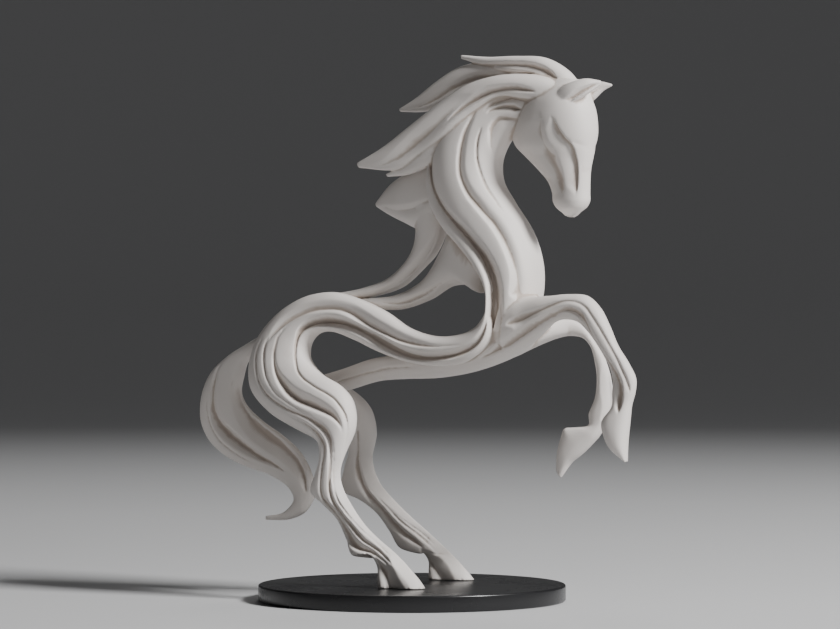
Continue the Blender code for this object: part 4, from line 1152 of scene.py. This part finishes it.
def noise(tree, place, scale, detail, roughness=0.5):
    """Noise at that place, from 0 to 1."""
    return add_node(tree, "ShaderNodeTexNoise", {
        "Vector": place, "Scale": scale, "Detail": detail, "Roughness": roughness})["Fac"]


def fine_grain():
    group, given = shader_group("fine grain", {"Scale": 1500.0, "Cloud scale": 60.0},
                                ("Grain", "Clouds"))
    add_node(group, "NodeGroupOutput", {
        "Grain": noise(group, given["Vector"], given["Scale"], detail=4.0, roughness=0.6),
        "Clouds": noise(group, given["Vector"], given["Cloud scale"], detail=3.0)})
    return group


grain_group = fine_grain()
print("grain group:", [s.name for s in grain_group.interface.items_tree])

# %% [markdown]
# ## Settled dust
# Dust lies only where a surface looks up, and there in specks and not as a film. So the group
# multiplies how far the surface looks up by a noise of which only the peaks are kept.

# %% Settled dust
LOOKING_UP = (0.3, 1.0)
NOISE_PEAKS = (0.5, 0.75)


def ranged(tree, value, *limits, **settings):
    """The value brought from its own range to another, or to the range from 0 to 1."""
    names = ("Value", "From Min", "From Max", "To Min", "To Max")
    return add_node(tree, "ShaderNodeMapRange", zip(names, (value, *limits)), **settings)[0]


def upright_part(tree, vector):
    """How far a vector goes straight up."""
    return add_node(tree, "ShaderNodeSeparateXYZ", {0: vector})["Z"]


def settled_dust():
    group, given = shader_group("settled dust", {"Amount": 0.5, "Scale": 400.0}, ("Dust",))
    normal = add_node(group, "ShaderNodeNewGeometry")["Normal"]
    upward = ranged(group, upright_part(group, normal), *LOOKING_UP)
    specks = ranged(group, noise(group, given["Vector"], given["Scale"], detail=6.0), *NOISE_PEAKS)
    settled = calculated(group, "MULTIPLY", upward, specks)
    add_node(group, "NodeGroupOutput", {
        "Dust": calculated(group, "MULTIPLY", settled, given["Amount"])})
    return group


dust_group = settled_dust()
print("dust group:", [s.name for s in dust_group.interface.items_tree])

# %% [markdown]
# ## Print layers
# A layered print shows fine lines, one for each layer: bands across one direction, a little wavy,
# and stronger in some places than in others. The group gives the lines and their strength apart,
# so that a finish can use them for tone and for relief.

# %% Print layers
WANDER_SCALE = 150.0
PATCH_RANGE = (0.38, 0.62)


def print_layers():
    group, given = shader_group("print layers", {"Spacing": 0.0005, "Waviness": 0.00015,
                                                 "Patches": 18.0}, ("Lines", "Strength"))
    place = given["Vector"]
    wander = calculated(group, "SUBTRACT", noise(group, place, WANDER_SCALE, detail=2.0), 0.5)
    height = calculated(group, "MULTIPLY_ADD", wander, given["Waviness"],
                        upright_part(group, place))
    count = calculated(group, "DIVIDE", height, given["Spacing"])
    patches = noise(group, place, given["Patches"], detail=2.0)
    add_node(group, "NodeGroupOutput", {
        "Lines": calculated(group, "MULTIPLY", calculated(group, "PINGPONG", count, 0.5), 2.0),
        "Strength": ranged(group, patches, *PATCH_RANGE)})
    return group


layer_group = print_layers()
print("layer group:", [s.name for s in layer_group.interface.items_tree])

# %% [markdown]
# ## White print
# The horse is a warm, matte white. Its layers rise at a slant, because the figure was printed
# leaning back. Their lines are faint: a slight step in the surface and a slight change of tone.
# Deep in the carved lines the white is mixed towards a warm brown, a painted shade for the
# shadow that falls there. The layers are turned by a Mapping node, so the group itself stays
# level and can serve another part.

# %% White print
LAYER_SPACING = 0.0005
LAYER_SLANT = math.radians(33)
WARM_WHITE = (0.80, 0.755, 0.72, 1)
CLOUDED_WHITE = (0.76, 0.71, 0.67, 1)
LINE_TONE = (0.64, 0.585, 0.54, 1)
# painted shade: the warm brown that the white is mixed towards deep in the carved lines
PAINTED_CREASE_SHADE = (0.40, 0.32, 0.26, 1)
PALE_DUST = (0.70, 0.69, 0.68, 1)
LINE_SHARE = 0.5
CREASE_SHADE_RANGE = (0.1, 1.0, 0.0, 0.75)
GRAIN_RANGE = (0.3, 0.7)
PRINT_ROUGHNESS = (0.52, 0.66)
PRINT_GLOSS = 0.4
LAYER_RELIEF = (0.55, 0.00006)
PRINT_TOOTH = (0.25, 0.00003)


def new_material(name):
    """A material with its tree and the object's own coordinates."""
    material = bpy.data.materials.new(name)
    material.use_nodes = True
    tree = material.node_tree
    return material, tree, add_node(tree, "ShaderNodeTexCoord")["Object"]


def spaced(given):
    """The values by their inputs' names, where an underscore stands for a space."""
    return {name.replace("_", " "): value for name, value in given.items()}


def feed_shader(tree, **given):
    """Feeds the material's shader."""
    feed(tree, tree.nodes["Principled BSDF"], spaced(given))


def placed_group(tree, group, place, **given):
    """What the group gives in a material when it is fed with that place and those values."""
    return add_node(tree, "ShaderNodeGroup", {"Vector": place, **spaced(given)}, node_tree=group)


def mixed(tree, share, first, second):
    """A colour between two, by a share that varies over the surface."""
    return add_node(tree, "ShaderNodeMix", {"Factor": share, "A": first, "B": second},
                    data_type="RGBA")["Result"]


def bump(tree, height, strength, distance, **below):
    """The normal that a height gives to a surface, on top of the normal below it."""
    return add_node(tree, "ShaderNodeBump", {
        "Height": height, "Strength": strength, "Distance": distance, **below})[0]


def white_print():
    material, tree, place = new_material("white print")
    turned = add_node(tree, "ShaderNodeMapping", {
        "Vector": place, "Rotation": (0, -LAYER_SLANT, -VIEW_TURN)})[0]
    grain = placed_group(tree, grain_group, place, Scale=1400.0, Cloud_scale=70.0)
    layers = placed_group(tree, layer_group, turned, Spacing=LAYER_SPACING)
    dust = placed_group(tree, dust_group, place, Amount=0.25, Scale=500.0)
    hollow = add_node(tree, "ShaderNodeAttribute", attribute_name="hollow")["Fac"]

    lines = calculated(tree, "MULTIPLY", layers["Lines"], layers["Strength"])
    cloudy = mixed(tree, grain["Clouds"], WARM_WHITE, CLOUDED_WHITE)
    lined = mixed(tree, calculated(tree, "MULTIPLY", lines, LINE_SHARE), cloudy, LINE_TONE)
    # painted shade: the colour turns warm brown where the hollow attribute says a line is deep
    deep = mixed(tree, ranged(tree, hollow, *CREASE_SHADE_RANGE), lined, PAINTED_CREASE_SHADE)
    steps = bump(tree, lines, *LAYER_RELIEF)
    feed_shader(tree, Base_Color=mixed(tree, dust["Dust"], deep, PALE_DUST),
                Roughness=ranged(tree, grain["Grain"], *GRAIN_RANGE, *PRINT_ROUGHNESS),
                Specular_IOR_Level=PRINT_GLOSS,
                Normal=bump(tree, grain["Grain"], *PRINT_TOOTH, Normal=steps))
    return material


horse.data.materials.append(white_print())
print(f"layers every {1000 * LAYER_SPACING:.1f} mm,",
      f"{math.degrees(LAYER_SLANT):.0f} degrees off level")

# %% [markdown]
# ## Black disc
# The disc is black, smooth and fairly glossy, with a thin bright line where its rounded edge
# catches the light. The edge itself is geometry, so the line comes from its curve alone. The
# gloss is not even: broad wiped clouds and a little dust on top break it up.

# %% Black disc
DEEP_BLACK = (0.010, 0.010, 0.011, 1)
CLOUDED_BLACK = (0.016, 0.016, 0.017, 1)
GREY_DUST = (0.35, 0.34, 0.33, 1)
WIPE_RANGE = (0.35, 0.65, 0.24, 0.31)
DUST_ROUGHNESS = 0.5
DISC_TOOTH = (0.1, 0.00002)


def black_disc():
    material, tree, place = new_material("black disc")
    grain = placed_group(tree, grain_group, place, Scale=900.0, Cloud_scale=45.0)
    dust = placed_group(tree, dust_group, place, Amount=0.05, Scale=1400.0)
    cloudy = mixed(tree, grain["Clouds"], DEEP_BLACK, CLOUDED_BLACK)
    wiped = ranged(tree, grain["Clouds"], *WIPE_RANGE)
    dulled = calculated(tree, "MULTIPLY", dust["Dust"], DUST_ROUGHNESS)
    feed_shader(tree, Base_Color=mixed(tree, dust["Dust"], cloudy, GREY_DUST),
                Roughness=calculated(tree, "ADD", wiped, dulled),
                Normal=bump(tree, grain["Grain"], *DISC_TOOTH))
    return material


black = black_disc()
print("black disc:", len(black.node_tree.nodes), "nodes")

# %% [markdown]
# ## Making the disc
# The lathe is hung on an empty mesh, its inputs are set by their identifiers, and what it makes
# becomes a plain mesh. The modifier then goes, and the faces are turned to look outwards and
# smoothed everywhere but on the flat top and bottom.

# %% The disc
def set_inputs(modifier, **values):
    """Sets inputs of the modifier's tree by their identifiers."""
    sockets = modifier.node_group.interface.items_tree
    identifiers = {s.name: s.identifier for s in sockets if s.in_out == "INPUT"}
    for name, value in spaced(values).items():
        modifier[identifiers[name]] = value


disc = add_to_scene("disc", bpy.data.meshes.new("disc"))
turning = disc.modifiers.new("lathe", "NODES")
turning.node_group = lathe
set_inputs(turning, Diameter=DISC_DIAMETER, Thickness=DISC_THICKNESS, Edge=DISC_EDGE,
           Edge_steps=DISC_EDGE_STEPS, Sides=DISC_SIDES, Material=black)
disc.data = as_modified(disc)
disc.modifiers.remove(turning)
turned = bmesh.new()
turned.from_mesh(disc.data)
bmesh.ops.recalc_face_normals(turned, faces=turned.faces)
for face in turned.faces:
    face.smooth = abs(face.normal.z) < LEVEL
turned.to_mesh(disc.data)
print(f"disc: {len(turned.faces)} faces,",
      f"{sum(not e.is_manifold for e in turned.edges)} open edges")
turned.free()

# %% [markdown]
# ## Standing for the solids
# The imported solids keep collision and mass, and are hidden. Each finished piece is hung on
# the body that carries it, and it is printed which solid it stands for.

# %% Standing for the solids
for piece, node, finish in ((horse, "horse", "white_print"), (disc, "base", "black_base")):
    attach(piece, "root")
    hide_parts(node)
    print(piece.name, "stands for", node, "with", len(piece.data.polygons), "faces")

# %% [markdown]
# ## Floor
# The figure stands on plain pale paper that rises all round in one soft bend, so no horizon
# shows from any side. The floor is turned: a flat line, an arc and an upright, spun once round
# the figure. White on pale paper would lose its edge, so the paper is painted darker towards
# the walls, a painted shade for the light falling off there.

# %% Floor
FLOOR_RINGS = (0, 0.5, 1)
FLOOR_RADIUS = 2.2
FLOOR_BEND = 1.4
WALL_TOP = 2.8
BEND_STEPS = 20
FLOOR_SIDES = 96
PAINTED_FALLOFF_REACH = (0.6, 2.6)
PALE_PAPER = (0.63, 0.63, 0.635, 1)
CLOUDED_PAPER = (0.60, 0.60, 0.605, 1)
# painted shade: the grey that the paper turns towards the walls, for the light falling off
PAINTED_FALLOFF_GREY = (0.23, 0.23, 0.235, 1)
PAPER_ROUGHNESS = (0.85, 0.95)


def pale_paper():
    material, tree, place = new_material("pale paper")
    grain = placed_group(tree, grain_group, place, Scale=300.0, Cloud_scale=3.0)
    away = add_node(tree, "ShaderNodeVectorMath", {0: place}, operation="LENGTH")["Value"]
    # painted shade: the paper is mixed towards grey further from the figure
    painted_falloff = ranged(tree, away, *PAINTED_FALLOFF_REACH, interpolation_type="SMOOTHSTEP")
    pale = mixed(tree, grain["Clouds"], PALE_PAPER, CLOUDED_PAPER)
    feed_shader(tree, Base_Color=mixed(tree, painted_falloff, pale, PAINTED_FALLOFF_GREY),
                Roughness=ranged(tree, grain["Grain"], *GRAIN_RANGE, *PAPER_ROUGHNESS))
    return material


def studio_floor():
    line = [(radius, 0) for radius in (*FLOOR_RINGS, FLOOR_RADIUS)]
    for step in range(1, BEND_STEPS + 1):
        angle = math.pi / 2 * step / BEND_STEPS
        line.append((FLOOR_RADIUS + FLOOR_BEND * math.sin(angle),
                     FLOOR_BEND * (1 - math.cos(angle))))
    line.append((FLOOR_RADIUS + FLOOR_BEND, WALL_TOP))
    paper = bmesh.new()
    verts = [paper.verts.new((radius, 0, height)) for radius, height in line]
    edges = [paper.edges.new(pair) for pair in zip(verts, verts[1:])]
    bmesh.ops.spin(paper, geom=verts + edges, cent=(0, 0, 0), axis=(0, 0, 1), angle=2 * math.pi,
                   steps=FLOOR_SIDES)
    bmesh.ops.remove_doubles(paper, verts=paper.verts, dist=SAME_PLACE)
    bmesh.ops.recalc_face_normals(paper, faces=paper.faces)
    if sum(f.normal.z for f in paper.faces) < 0:
        bmesh.ops.reverse_faces(paper, faces=paper.faces)
    for face in paper.faces:
        face.smooth = True
    floor = add_body("studio_floor", paper)
    floor.data.materials.append(pale_paper())
    return floor


floor = studio_floor()
print("floor reaches", [round(d, 2) for d in floor.dimensions])

# %% [markdown]
# ## Camera
# The camera looks level, a little to the right of straight on, from far enough away that the
# picture is nearly flat. One row of the photograph is one step on the figure, so its lens
# follows from the distance and the picture's width.

# %% Camera
PICTURE_WIDTH = 840
SENSOR = 36.0

back = Vector((VIEW_SIN, -VIEW_COS, 0))
sideways = Vector((VIEW_COS, VIEW_SIN, 0))
target = sideways * (CAMERA_COLUMN - AXIS_COLUMN) * STEP
target.z = SOLE_HEIGHT + (SOLE_ROW - CAMERA_ROW) * STEP
lens = bpy.data.cameras.new("camera")
lens.sensor_width = SENSOR
lens.lens = CAMERA_DISTANCE / PICTURE_WIDTH * SENSOR
camera = add_to_scene("camera", lens)
camera.location = target + back * CAMERA_DISTANCE * STEP
camera.rotation_euler = (-back).to_track_quat("-Z", "Y").to_euler()
bpy.context.scene.camera = camera
print(f"camera {camera.location.length:.2f} m away with a {lens.lens:.0f} mm lens")

# %% [markdown]
# ## Light
# In the photograph a soft light stands high on the right, in front of the chest, and little
# comes back from the left, so every wall that looks left or down goes grey. One large lamp does
# that, with a weak one on the left, another behind that lifts the far rim, and a dim room.

# %% Light
LAMPS = (
    ("key", (1.55, -0.3, 1.2), 0.42, 62),
    ("fill", (-1.6, -1.2, 0.9), 0.9, 0.5),
    ("rim", (-0.6, 1.4, 1.5), 0.6, 4.5),
)
LAMP_AIM = Vector((0, 0, 0.1))
ROOM_COLOUR = (0.9, 0.92, 0.95, 1)
ROOM_STRENGTH = 0.02


def soft_light(name, place, size, power):
    """A square lamp, its size in metres and its power in watts, aimed at the figure."""
    lamp = bpy.data.lights.new(name, "AREA")
    lamp.size = size
    lamp.energy = power
    made = add_to_scene(name, lamp)
    made.location = place
    made.rotation_euler = (LAMP_AIM - Vector(place)).to_track_quat("-Z", "Y").to_euler()


for lamp in LAMPS:
    soft_light(*lamp)
world = bpy.data.worlds.new("room")
world.use_nodes = True
background = world.node_tree.nodes["Background"].inputs
background["Color"].default_value = ROOM_COLOUR
background["Strength"].default_value = ROOM_STRENGTH
bpy.context.scene.world = world
print(len(LAMPS), "lamps and a dim room")
